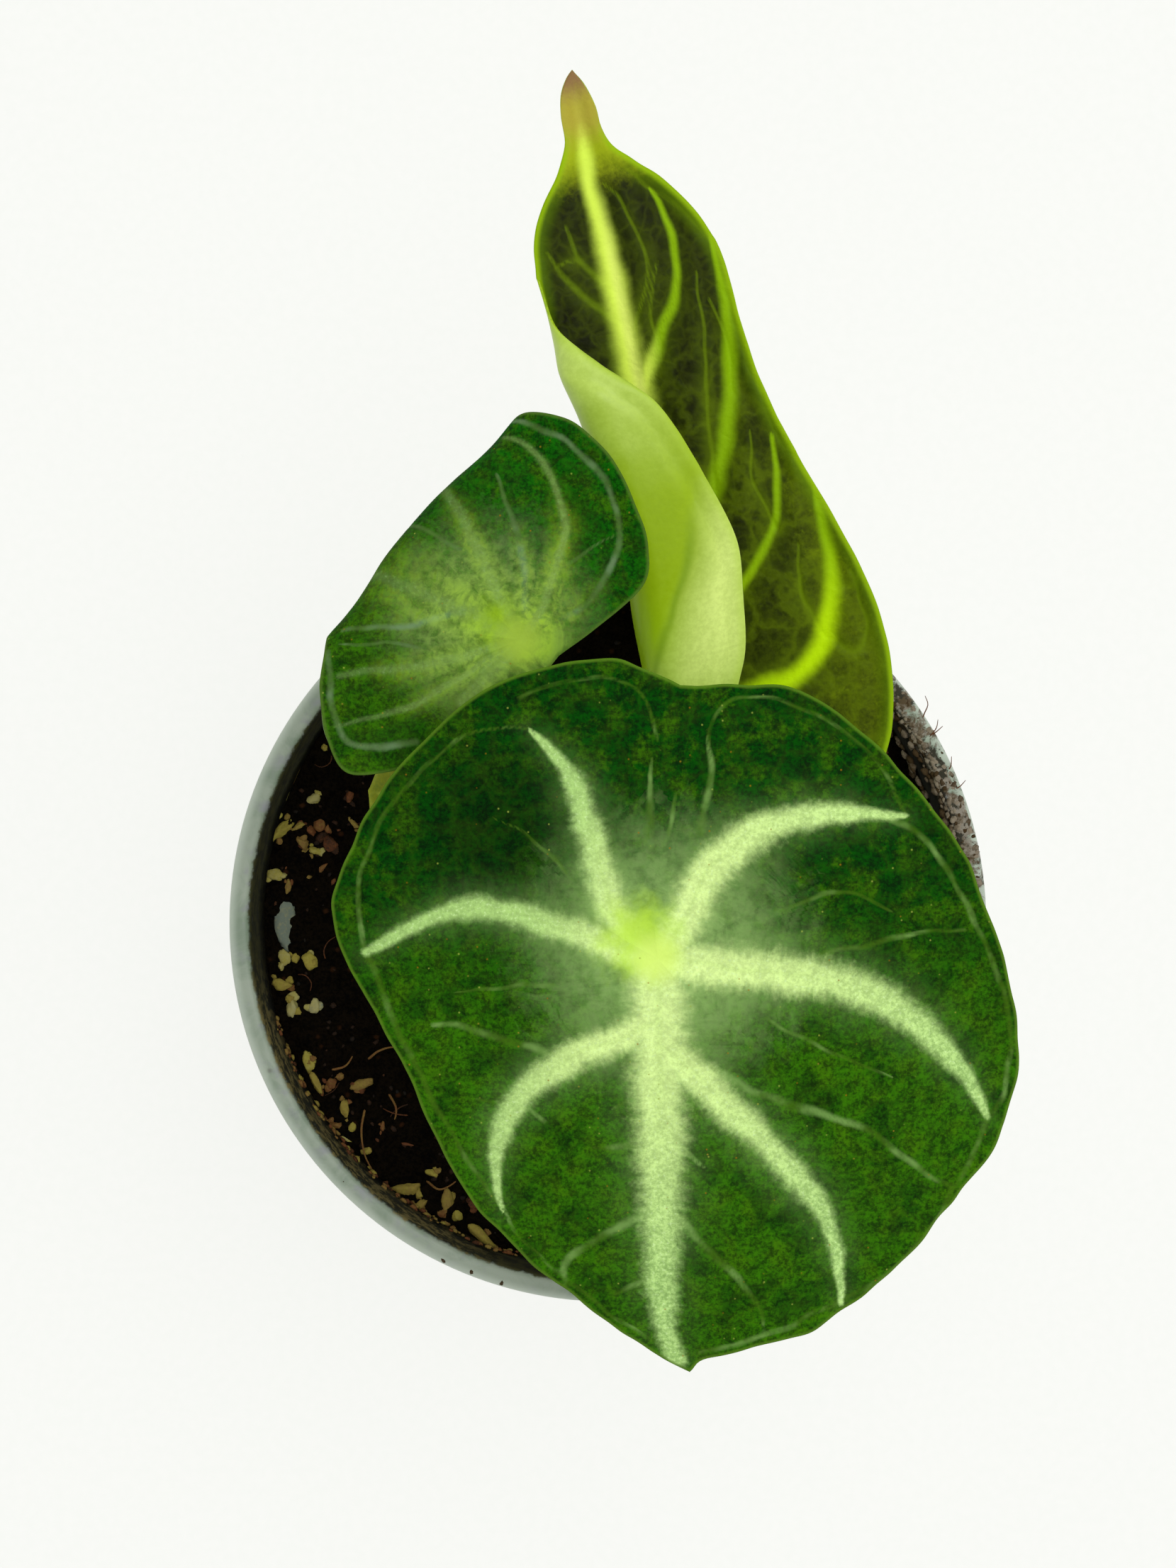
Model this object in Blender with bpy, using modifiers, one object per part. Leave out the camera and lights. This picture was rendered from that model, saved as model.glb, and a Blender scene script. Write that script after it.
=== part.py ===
"""Potted ninja alocasia: a young aroid with four leaves in a small nursery pot.

Frame: +Z up, origin at the centre of the pot's base. Units are metres.
Each leaf is a stalk and a blade. A blade is drawn flat around the point where
its stalk meets it, then bent into shape by its own function.
"""

import math

import bmesh
import bpy
import numpy as np
from mathutils import Vector

MM = 0.001
CLEARANCE = 0.3 * MM
UP = Vector((0.0, 0.0, 1.0))

# Pot sizes
POT_HEIGHT = 62.0 * MM
RIM_RADIUS = 35.0 * MM
RIM_WIDTH = 2.0 * MM
RIM_DEPTH = 5.0 * MM
RIM_ROUND = 0.6 * MM
LIP = 1.2 * MM
BASE_RADIUS = 25.0 * MM
WALL = 1.0 * MM
FLOOR = 1.2 * MM
FOOT_WIDTH = 2.5 * MM
FOOT_HEIGHT = 1.5 * MM
PAD_RADIUS = 9.0 * MM
POT_STEPS = 48
DRAIN_COUNT = 6
DRAIN_RADIUS = 2.75 * MM
DRAIN_CIRCLE = 15.5 * MM
DRAIN_DEPTH = 8.0 * MM

# Soil sizes
SOIL_TOP = 56.5 * MM
SOIL_HEAP = 1.6 * MM
SOIL_LUMP = 0.9 * MM
SOIL_WALL_GAP = 0.45 * MM
CHIP_COUNT = 26
CHIP_HEIGHT = 1.1 * MM
CHIP_SIZES = (1.6 * MM, 2.6 * MM)
CHIP_REACH = (13.0 * MM, 30.0 * MM)
SOIL_SPOKES = 44
SOIL_RINGS = 9

# Crown sizes: the stalks stand in blind holes in it
CROWN_CENTRE = Vector((0.0, 9.5 * MM, 0.0))
CROWN_RADIUS = 6.6 * MM
CROWN_TOP = 60.0 * MM
CROWN_DEPTH = 12.0 * MM
SOCKET_DEPTH = 4.0 * MM

# Blade sizes
BLADE_THICKNESS = 0.7 * MM
RIB_THICKNESS = 1.3 * MM
VEIN_CHANNEL_MM = 0.35
CUSHION_HEIGHT_MM = 0.55
CUSHION_REACH = 3.2
RIB_REACH = 1.1
RING_SPREAD = 0.92

# Stalk shape: a straight collar over the crown, then one smooth bend
STALK_COLLAR = 1.5 * MM
STALK_BEND = 0.38
STALK_PIECES = 11

# How the blades sit, in millimetres and as slopes
FRONT_TILT = 0.20
FRONT_DROOP = 0.0055
FRONT_REACH = 30.0
FRONT_LONG_WAVE = 0.8
FRONT_SHORT_WAVE = 0.45
SIDE_CUP = 0.004
SIDE_TILT = 0.05
NEW_LIFT = 0.16
NEW_ARCH = 0.006
OLD_TILT = 0.12
OLD_DROOP = 0.012

# Places of the stalk ends under the blades
FRONT_HUB = Vector((3.7 * MM, -1.0 * MM, 97.0 * MM))
SIDE_HUB = Vector((-7.4 * MM, 24.6 * MM, 91.0 * MM))
NEW_HUB = Vector((8.8 * MM, 19.5 * MM, 73.0 * MM))
OLD_HUB = Vector((-10.5 * MM, 9.5 * MM, 79.5 * MM))

# Flat outlines and main veins, in millimetres from the hub, tip first
FRONT_LEFT = [
    (3.0, -35.5), (0.3, -34.0), (-4.7, -30.4), (-12.6, -23.3), (-16.6, -17.7),
    (-20.6, -8.4), (-24.8, -0.9), (-26.0, 3.0), (-25.5, 6.3), (-21.5, 14.1),
    (-13.9, 21.2), (-5.2, 23.7), (-1.4, 23.0), (1.7, 21.5),
]
FRONT_RIGHT = [
    (1.7, 21.5), (6.7, 21.7), (10.6, 21.4), (16.2, 18.0), (23.9, 9.4),
    (25.9, 4.7), (28.0, -0.5), (29.8, -9.0), (28.0, -16.2), (25.0, -20.0),
    (22.2, -24.0), (18.5, -28.1),
    (13.1, -31.7), (4.9, -33.9), (3.0, -35.5),
]
FRONT_VEINS = [
    [(0.0, 0.0), (0.4, -8.5), (0.6, -20.2), (0.6, -29.7), (2.6, -34.5)],
    [(0.0, 0.0), (3.9, 5.6), (8.1, 9.7), (13.2, 11.7), (19.8, 11.5)],
    [(0.0, 0.0), (10.3, -1.4), (17.5, -3.4), (22.7, -7.7), (26.6, -12.8)],
    [(0.4, -6.2), (6.5, -11.8), (13.0, -18.4), (15.1, -23.4), (15.2, -29.0)],
    [(0.0, 0.0), (-3.6, 4.8), (-5.8, 11.5), (-10.0, 18.4)],
    [(0.0, 0.0), (-5.1, 1.2), (-11.4, 3.7), (-17.0, 4.2), (-23.2, 1.0)],
    [(0.4, -5.0), (-7.6, -8.5), (-12.3, -12.6), (-13.5, -16.7), (-12.6, -21.5)],
]
SIDE_LEFT = [
    (-25.6, 11.4), (-23.5, 8.5), (-18.6, 3.5), (-16.1, 0.3), (-16.0, -4.0),
    (-15.5, -8.0), (-13.2, -11.0), (-5.4, -9.1), (0.2, -4.9), (3.2, -1.3),
]
SIDE_RIGHT = [
    (3.2, -1.3), (6.2, 0.9), (10.0, 4.3), (10.5, 7.3), (9.5, 10.7), (7.3, 14.9),
    (4.0, 17.7), (0.0, 18.6), (-6.0, 18.5), (-13.0, 17.5), (-20.0, 14.5),
    (-25.6, 11.4),
]
SIDE_VEINS = [
    [(0.0, 0.0), (-5.4, 3.2), (-10.2, 4.9), (-24.0, 10.9)],
    [(0.0, 0.0), (-1.9, 4.2), (-4.6, 9.7), (-7.5, 16.5)],
    [(0.0, 0.0), (1.9, 2.5), (3.8, 7.7), (3.2, 12.5), (-0.9, 17.0)],
    [(0.0, 0.0), (-4.6, -0.2), (-10.4, -2.4), (-15.4, -3.0)],
    [(0.0, 0.0), (-5.8, -3.5), (-12.8, -6.7)],
]
NEW_LEFT = [
    (0.0, 53.1), (-1.4, 50.0), (-1.9, 47.9), (-4.1, 44.4), (-6.1, 40.9),
    (-6.5, 38.2), (-7.2, 33.7), (-10.6, 29.6), (-13.3, 25.9), (-14.8, 19.3),
    (-15.8, 11.5), (-15.6, 5.4), (-14.3, 1.5), (-11.0, -5.0), (-6.5, -9.5),
    (-0.5, -7.0),
]
NEW_RIGHT = [
    (-0.5, -7.0), (6.0, -11.5), (11.5, -11.0), (14.9, -6.5), (16.3, -0.7),
    (16.1, 5.3), (14.4, 11.9), (12.2, 18.1), (10.2, 24.6), (9.3, 31.1),
    (9.0, 36.0), (8.0, 39.2), (5.2, 43.3), (2.4, 46.1), (1.2, 48.8), (0.0, 53.1),
]
NEW_VEINS = [
    [(0.0, 0.0), (-0.1, 20.0), (-0.3, 36.0), (-0.4, 46.0), (0.0, 51.5)],
    [(0.0, 26.8), (2.4, 30.7), (5.2, 36.5), (5.0, 40.8), (3.4, 43.8)],
    [(0.2, 11.0), (4.4, 17.9), (7.5, 25.6), (8.5, 33.3), (8.5, 38.0)],
    [(0.2, 3.5), (5.6, 10.6), (8.9, 13.6), (10.2, 21.4)],
    [(0.0, 0.0), (6.6, 0.7), (11.3, 3.9), (12.9, 11.0), (12.9, 15.0)],
    [(0.0, 20.0), (-6.0, 26.0), (-10.0, 28.5)],
    [(0.0, 10.0), (-8.0, 15.0), (-14.0, 17.0)],
    [(0.0, 2.0), (-9.0, 4.0), (-15.0, 7.0)],
]
OLD_LEFT = [
    (-10.4, 2.8), (-9.6, -2.0), (-6.5, -5.6), (-1.0, -6.6), (3.6, -4.6), (4.6, 0.0),
]
OLD_RIGHT = [
    (4.6, 0.0), (4.0, 4.4), (0.0, 7.0), (-5.5, 6.8), (-9.0, 5.2), (-10.4, 2.8),
]
OLD_VEINS = [
    [(0.0, 0.0), (-9.4, 2.5)],
    [(0.0, 0.0), (-4.0, 5.4)],
    [(0.0, 0.0), (-5.5, -4.6)],
]

# Side leaf: the tip hangs down past a straight fold
FOLD_NORMAL = np.array((-0.761, 0.649))
FOLD_START = 9.6
FOLD_RADIUS = 2.5
FOLD_ANGLE = math.radians(98.0)

# New leaf: rise along its length, and the roll of its left half
NEW_LENGTH = 53.1
NEW_RISE = 17.0
NEW_TURN = math.radians(13.1)
ROLL_RADIUS = 2.2
ROLL_TIP_RADIUS = 0.35
ROLL_NARROWS = 27.0
ROLL_END = 37.5
ROLL_PLACES = [-12.0, 4.8, 8.8, 13.3, 19.4, 25.4, 29.4, 32.3, 36.0, 38.3]
ROLL_EDGES = [4.7, 4.5, 4.4, 4.1, 4.5, 5.1, 5.9, 6.0, 6.2, 6.4]


def spline(points, count):
    """Return count + 1 points, evenly spaced, on a smooth line through the hand points."""
    hand = np.array(points, dtype=float)
    before = 2.0 * hand[:1] - hand[1:2]
    after = 2.0 * hand[-1:] - hand[-2:-1]
    line = np.concatenate([before, hand, after])
    fine = []
    for i in range(1, len(line) - 2):
        a, b, c, d = line[i - 1:i + 3]
        for t in np.linspace(0.0, 1.0, 24, endpoint=False):
            bend = (2 * a - 5 * b + 4 * c - d) * t * t
            twist = (3 * b - a - 3 * c + d) * t ** 3
            fine.append(0.5 * (2 * b + (c - a) * t + bend + twist))
    fine.append(line[-2])
    fine = np.array(fine)
    steps = np.linalg.norm(np.diff(fine, axis=0), axis=1)
    length = np.concatenate([[0.0], np.cumsum(steps)])
    wanted = np.linspace(0.0, length[-1], count + 1)
    columns = [np.interp(wanted, length, fine[:, k]) for k in range(fine.shape[1])]
    return np.stack(columns, axis=1)


def distance_to_line(points, line):
    """Return the distance from each flat point to a chain of straight pieces."""
    nearest = np.full(len(points), 1e9)
    for start, end in zip(line[:-1], line[1:]):
        along = end - start
        share = np.clip((points - start) @ along / (along @ along), 0.0, 1.0)
        gap = np.linalg.norm(points - start - share[:, None] * along, axis=1)
        nearest = np.minimum(nearest, gap)
    return nearest


def vein_form(points, veins):
    """Return the height of the cushions and channels, and the strength of the ribs."""
    lines = [spline(vein, 12) for vein in veins]
    gap = np.min([distance_to_line(points, line) for line in lines], axis=0)
    rib = np.exp(-(gap / RIB_REACH) ** 2)
    cushion = 1.0 - np.exp(-(gap / CUSHION_REACH) ** 2)
    return CUSHION_HEIGHT_MM * cushion - VEIN_CHANNEL_MM * rib, rib


def front_shape(points):
    """Large round blade: tilted to the tip, drooping at the edge, with gentle waves."""
    x, y = points[:, 0], points[:, 1]
    reach = np.hypot(x, y)
    turn = np.arctan2(y, x)
    edge = (reach / FRONT_REACH) ** 3
    long_wave = FRONT_LONG_WAVE * np.sin(4.0 * turn + 0.6)
    short_wave = FRONT_SHORT_WAVE * np.sin(9.0 * turn + 1.0)
    height = FRONT_TILT * y - FRONT_DROOP * reach ** 2 + edge * (long_wave + short_wave)
    return np.stack([x, y, height], axis=1)


def side_shape(points):
    """Small cupped blade: its tip bends down past the fold."""
    past = points @ FOLD_NORMAL - FOLD_START
    arc = np.clip(past / FOLD_RADIUS, 0.0, FOLD_ANGLE)
    hang = np.maximum(past - FOLD_RADIUS * FOLD_ANGLE, 0.0)
    forward = FOLD_RADIUS * np.sin(arc) + hang * math.cos(FOLD_ANGLE)
    drop = FOLD_RADIUS * (1.0 - np.cos(arc)) + hang * math.sin(FOLD_ANGLE)
    shift = np.where(past > 0.0, forward - past, 0.0)
    flat = points + shift[:, None] * FOLD_NORMAL
    reach = np.hypot(flat[:, 0], flat[:, 1])
    height = SIDE_CUP * reach ** 2 - SIDE_TILT * flat[:, 0] - drop
    return np.stack([flat[:, 0], flat[:, 1], height], axis=1)


def new_rise(along):
    """Height of the new leaf's midrib over its hub."""
    share = np.clip(along / NEW_LENGTH, -0.4, 1.0)
    return NEW_RISE * (1.3 * share - 0.3 * share ** 2)


def new_shape(points):
    """Tall new blade: the right half is open, the left half rolls over the midrib."""
    across, along = points[:, 0], points[:, 1]
    edge = np.interp(along, ROLL_PLACES, ROLL_EDGES)
    radius = np.interp(along, [ROLL_NARROWS, ROLL_END], [ROLL_RADIUS, ROLL_TIP_RADIUS])
    rolled = along < ROLL_END
    flat_part = edge - radius
    past = np.where(rolled, -across - flat_part, -1.0)
    arc = np.clip(past / radius, 0.0, math.pi)
    back = np.maximum(past - radius * math.pi, 0.0)
    left = -flat_part - radius * np.sin(arc) + back
    side = np.where(past > 0.0, left, across)
    lift = np.where(past > 0.0, radius * (1.0 - np.cos(arc)), 0.0)
    slope = NEW_LIFT * across - NEW_ARCH * across ** 2
    lift += np.where(across > 0.0, slope, 0.0)
    turned_x = side * math.cos(NEW_TURN) - along * math.sin(NEW_TURN)
    turned_y = side * math.sin(NEW_TURN) + along * math.cos(NEW_TURN)
    return np.stack([turned_x, turned_y, new_rise(along) + lift], axis=1)


def old_shape(points):
    """Small old blade: a plain arched oval that hangs a little."""
    x, y = points[:, 0], points[:, 1]
    height = OLD_TILT * x - OLD_DROOP * (x ** 2 + y ** 2)
    return np.stack([x, y, height], axis=1)


def clean_scene():
    """Remove what a new file holds."""
    for thing in list(bpy.data.objects):
        bpy.data.objects.remove(thing, do_unlink=True)


def collection(name):
    """Make a collection in the scene."""
    group = bpy.data.collections.new(name)
    bpy.context.scene.collection.children.link(group)
    return group


def material(name, color, roughness):
    """Make a plain Principled material."""
    paint = bpy.data.materials.new(name)
    paint.use_nodes = True
    shader = paint.node_tree.nodes["Principled BSDF"]
    shader.inputs["Base Color"].default_value = (*color, 1.0)
    shader.inputs["Roughness"].default_value = roughness
    shader.inputs["Metallic"].default_value = 0.0
    return paint


def add_mesh(name, mesh, group, paint):
    """Place a mesh as a named object with its material."""
    thing = bpy.data.objects.new(name, mesh)
    if paint is not None:
        mesh.materials.append(paint)
    group.objects.link(thing)
    return thing


def turned(name, profile, steps, group, paint):
    """Turn a profile around the Z axis. The profile runs from the axis back to the axis."""
    mesh = bpy.data.meshes.new(name)
    points = [(x, 0.0, z) for x, z in profile]
    edges = [(i, i + 1) for i in range(len(points) - 1)]
    mesh.from_pydata(points, edges, [])
    thing = add_mesh(name, mesh, group, paint)
    screw = thing.modifiers.new("Turn", "SCREW")
    screw.steps = steps
    screw.render_steps = steps
    screw.use_merge_vertices = True
    screw.merge_threshold = 0.00001
    screw.use_smooth_shade = True
    return thing


def cylinder_cutter(name, radius, depth, centre, direction, group):
    """Make a hidden cylinder that cuts another solid."""
    mesh = bpy.data.meshes.new(name)
    work = bmesh.new()
    bmesh.ops.create_cone(
        work, cap_ends=True, segments=20, radius1=radius, radius2=radius, depth=depth,
    )
    work.to_mesh(mesh)
    work.free()
    cutter = add_mesh(name, mesh, group, None)
    cutter.location = centre
    cutter.rotation_mode = "QUATERNION"
    cutter.rotation_quaternion = direction.to_track_quat("Z", "Y")
    cutter.hide_render = True
    cutter.display_type = "WIRE"
    return cutter


def cut(thing, cutter):
    """Take the cutter's shape out of a solid."""
    boolean = thing.modifiers.new("Cut " + cutter.name, "BOOLEAN")
    boolean.operation = "DIFFERENCE"
    boolean.solver = "EXACT"
    boolean.object = cutter


def outer_radius(height):
    """Radius of the pot's outer wall at a height."""
    share = height / (POT_HEIGHT - RIM_DEPTH)
    return BASE_RADIUS + share * (RIM_RADIUS - LIP - BASE_RADIUS)


def make_pot(group, cutters):
    """Thin tapered pot with a turned-down rim, a foot ring and drain holes."""
    floor_top = FOOT_HEIGHT + FLOOR
    inner_floor = outer_radius(floor_top) - WALL
    rim_inner = RIM_RADIUS - RIM_WIDTH
    lip_low = POT_HEIGHT - RIM_DEPTH
    profile = [
        (0.0, floor_top),
        (inner_floor, floor_top),
        (outer_radius(lip_low) - WALL, lip_low),
        (rim_inner, POT_HEIGHT - RIM_ROUND),
        (rim_inner + RIM_ROUND, POT_HEIGHT),
        (RIM_RADIUS - RIM_ROUND, POT_HEIGHT),
        (RIM_RADIUS, POT_HEIGHT - RIM_ROUND),
        (RIM_RADIUS, lip_low),
        (outer_radius(lip_low), lip_low),
        (BASE_RADIUS, 0.0),
        (BASE_RADIUS - FOOT_WIDTH, 0.0),
        (BASE_RADIUS - FOOT_WIDTH - 0.5 * MM, FOOT_HEIGHT),
        (PAD_RADIUS + 0.5 * MM, FOOT_HEIGHT),
        (PAD_RADIUS, 0.0),
        (0.0, 0.0),
    ]
    paint = material("white plastic", (0.62, 0.66, 0.62), 0.45)
    pot = turned("pot", profile, POT_STEPS, group, paint)
    for i in range(DRAIN_COUNT):
        turn = 2.0 * math.pi * i / DRAIN_COUNT
        centre = Vector((math.cos(turn), math.sin(turn), 0.0)) * DRAIN_CIRCLE
        centre.z = floor_top
        name = "drain hole %d" % (i + 1)
        cut(pot, cylinder_cutter(name, DRAIN_RADIUS, DRAIN_DEPTH, centre, UP, cutters))
    return pot


def soil_height(x, y, chips):
    """Height of the soil: heaped at the front left, lumpy, with raised chips."""
    heap = SOIL_HEAP * (-0.35 * x - 0.6 * y) / (RIM_RADIUS - RIM_WIDTH)
    wave = math.sin(x / (3.1 * MM) + 0.7) * math.cos(y / (2.7 * MM) - 0.4)
    ripple = math.sin((x + y) / (1.9 * MM)) * math.cos((x - y) / (2.3 * MM))
    height = SOIL_TOP + heap + SOIL_LUMP * (0.6 * wave + 0.4 * ripple)
    for chip_x, chip_y, size in chips:
        near = ((x - chip_x) ** 2 + (y - chip_y) ** 2) / (size * size)
        height += CHIP_HEIGHT * math.exp(-near * near)
    return height


def make_soil(group, cutters):
    """Soil fill: a tapered plug with a lumpy top and a plain hole for the crown."""
    floor_top = FOOT_HEIGHT + FLOOR + CLEARANCE
    dice = np.random.default_rng(7)
    turns = dice.uniform(0.0, 2.0 * math.pi, CHIP_COUNT)
    reaches = dice.uniform(*CHIP_REACH, CHIP_COUNT)
    sizes = dice.uniform(*CHIP_SIZES, CHIP_COUNT)
    chips = list(zip(reaches * np.cos(turns), reaches * np.sin(turns), sizes))
    top_radius = outer_radius(SOIL_TOP) - WALL - SOIL_WALL_GAP
    low_radius = outer_radius(floor_top) - WALL - SOIL_WALL_GAP
    work = bmesh.new()
    centre = work.verts.new((0.0, 0.0, soil_height(0.0, 0.0, chips)))
    rings = []
    for k in range(1, SOIL_RINGS + 1):
        radius = top_radius * k / SOIL_RINGS
        ring = []
        for j in range(SOIL_SPOKES):
            turn = 2.0 * math.pi * (j + 0.5 * (k % 2)) / SOIL_SPOKES
            x, y = radius * math.cos(turn), radius * math.sin(turn)
            z = soil_height(x, y, chips)
            if k == SOIL_RINGS:
                z = min(z, POT_HEIGHT - RIM_DEPTH)
            ring.append(work.verts.new((x, y, z)))
        rings.append(ring)
    low = []
    for vert in rings[-1]:
        turn = math.atan2(vert.co.y, vert.co.x)
        x, y = low_radius * math.cos(turn), low_radius * math.sin(turn)
        low.append(work.verts.new((x, y, floor_top)))
    rings.append(low)
    for j in range(SOIL_SPOKES):
        following = (j + 1) % SOIL_SPOKES
        work.faces.new((centre, rings[0][j], rings[0][following]))
    for k in range(len(rings) - 1):
        inner, outer = rings[k], rings[k + 1]
        staggered = k % 2 == 0 and k + 1 < SOIL_RINGS
        for j in range(SOIL_SPOKES):
            following = (j + 1) % SOIL_SPOKES
            if k + 1 == len(rings) - 1:
                work.faces.new((inner[j], outer[j], outer[following], inner[following]))
            elif staggered:
                work.faces.new((inner[j], outer[j], outer[following]))
                work.faces.new((inner[j], outer[following], inner[following]))
            else:
                work.faces.new((inner[j], outer[j], inner[following]))
                work.faces.new((inner[following], outer[j], outer[following]))
    work.faces.new(list(reversed(low)))
    bmesh.ops.recalc_face_normals(work, faces=work.faces)
    mesh = bpy.data.meshes.new("soil")
    work.to_mesh(mesh)
    work.free()
    soil = add_mesh("soil", mesh, group, material("potting soil", (0.035, 0.024, 0.016), 0.95))
    depth = 2.0 * CROWN_DEPTH + 2.0 * CLEARANCE
    centre = CROWN_CENTRE + Vector((0.0, 0.0, CROWN_TOP))
    radius = CROWN_RADIUS + CLEARANCE
    cut(soil, cylinder_cutter("crown hole", radius, depth, centre, UP, cutters))
    return soil


def make_crown(group, cutters, stalks):
    """Short lumpy rhizome whose top holds the stalks in blind holes."""
    low = CROWN_TOP - CROWN_DEPTH
    profile = [
        (0.0, CROWN_TOP),
        (CROWN_RADIUS * 0.62, CROWN_TOP - 0.2 * MM),
        (CROWN_RADIUS * 0.92, CROWN_TOP - 1.2 * MM),
        (CROWN_RADIUS, CROWN_TOP - 3.0 * MM),
        (CROWN_RADIUS * 0.93, CROWN_TOP - 5.0 * MM),
        (CROWN_RADIUS * 0.97, CROWN_TOP - 8.0 * MM),
        (CROWN_RADIUS * 0.70, low + 0.8 * MM),
        (0.0, low),
    ]
    crown = turned("crown", profile, 24, group, material("rhizome bark", (0.12, 0.08, 0.045), 0.85))
    crown.location = CROWN_CENTRE
    for stalk in stalks:
        centre = stalk["foot"]
        radius = stalk["radius"] + CLEARANCE
        name = "socket for " + stalk["name"]
        cutter = cylinder_cutter(name, radius, 2.0 * SOCKET_DEPTH, centre, stalk["up"], cutters)
        cut(crown, cutter)
    return crown


def make_stalk(stalk, group):
    """Round stalk on a curve, straight in its socket, thinner at the blade."""
    foot, up, top, lean = stalk["foot"], stalk["up"], stalk["top"], stalk["lean"]
    seat = foot - up * (SOCKET_DEPTH - CLEARANCE)
    collar = foot + up * STALK_COLLAR
    reach = (top - collar).length
    low_bend = collar + up * reach * STALK_BEND
    high_bend = top - lean * reach * STALK_BEND
    curve = bpy.data.curves.new(stalk["name"], "CURVE")
    curve.dimensions = "3D"
    curve.bevel_depth = stalk["radius"]
    curve.bevel_resolution = 2
    curve.use_fill_caps = True
    line = curve.splines.new("POLY")
    line.points.add(STALK_PIECES + 1)
    line.points[0].co = (*seat, 1.0)
    line.points[0].radius = 1.0
    for i in range(STALK_PIECES + 1):
        t = i / STALK_PIECES
        here = (
            collar * (1 - t) ** 3 + low_bend * 3 * t * (1 - t) ** 2
            + high_bend * 3 * t * t * (1 - t) + top * t ** 3
        )
        line.points[i + 1].co = (*here, 1.0)
        line.points[i + 1].radius = 1.0 - stalk["taper"] * t
    thing = bpy.data.objects.new(stalk["name"], curve)
    curve.materials.append(stalk["paint"])
    group.objects.link(thing)
    return thing


def blade_points(left, right, counts, rings):
    """Return the hub point and rings of flat points that grow out to the outline."""
    outline = np.concatenate([spline(left, counts[0])[:-1], spline(right, counts[1])[:-1]])
    shares = (np.arange(1, rings + 1) / rings) ** RING_SPREAD
    grid = [outline * share for share in shares]
    return np.concatenate([[[0.0, 0.0]], *grid])


def hub_frame(shape):
    """Return the upward direction of a blade at its hub."""
    step = 0.5
    flat = np.array([(0.0, 0.0), (step, 0.0), (0.0, step)])
    centre, right, back = shape(flat)
    return Vector(np.cross(right - centre, back - centre)).normalized()


def make_blade(name, hub, outline, counts, rings, shape, veins, paint, group):
    """Blade: an open triangulated sheet of rings, given its thickness by Solidify."""
    flat = blade_points(outline[0], outline[1], counts, rings)
    relief, rib = vein_form(flat, veins)
    relief -= relief[0]
    solid = shape(flat)
    solid[:, 2] += relief
    spokes = sum(counts)
    faces = []
    for j in range(spokes):
        faces.append((0, 1 + (j + 1) % spokes, 1 + j))
    for k in range(rings - 1):
        inner, outer = 1 + k * spokes, 1 + (k + 1) * spokes
        for j in range(spokes):
            following = (j + 1) % spokes
            faces.append((inner + j, inner + following, outer + j))
            faces.append((inner + following, outer + following, outer + j))
    mesh = bpy.data.meshes.new(name)
    mesh.from_pydata([tuple(point) for point in solid * MM], [], faces)
    if mesh.polygons[0].normal.z < 0.0:
        mesh.flip_normals()
    mesh.shade_smooth()
    blade = add_mesh(name, mesh, group, paint)
    blade.location = hub
    ribs = blade.vertex_groups.new(name="ribs")
    for i, strength in enumerate(rib):
        ribs.add([i], float(strength), "REPLACE")
    thicken = blade.modifiers.new("Thickness", "SOLIDIFY")
    thicken.thickness = RIB_THICKNESS
    thicken.offset = -1.0
    thicken.use_even_offset = False
    thicken.vertex_group = "ribs"
    thicken.thickness_vertex_group = BLADE_THICKNESS / RIB_THICKNESS
    return blade


def stalk_values(name, foot, up, hub, shape, radius, taper, paint, lean=None):
    """Gather a stalk's ends: its foot in the crown and its top under the blade.

    A stalk meets its blade squarely, or along lean where that is given.
    """
    blade_up = hub_frame(shape)
    lean = Vector(lean).normalized() if lean else blade_up
    slant = radius * MM * (1.0 - taper) * lean.cross(blade_up).length
    top = hub - blade_up * (RIB_THICKNESS + CLEARANCE + slant)
    place = CROWN_CENTRE + Vector(foot) * MM
    place.z = CROWN_TOP
    return {
        "name": name, "foot": place, "up": Vector(up).normalized(), "top": top,
        "lean": lean, "radius": radius * MM, "taper": taper, "paint": paint,
    }


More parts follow.
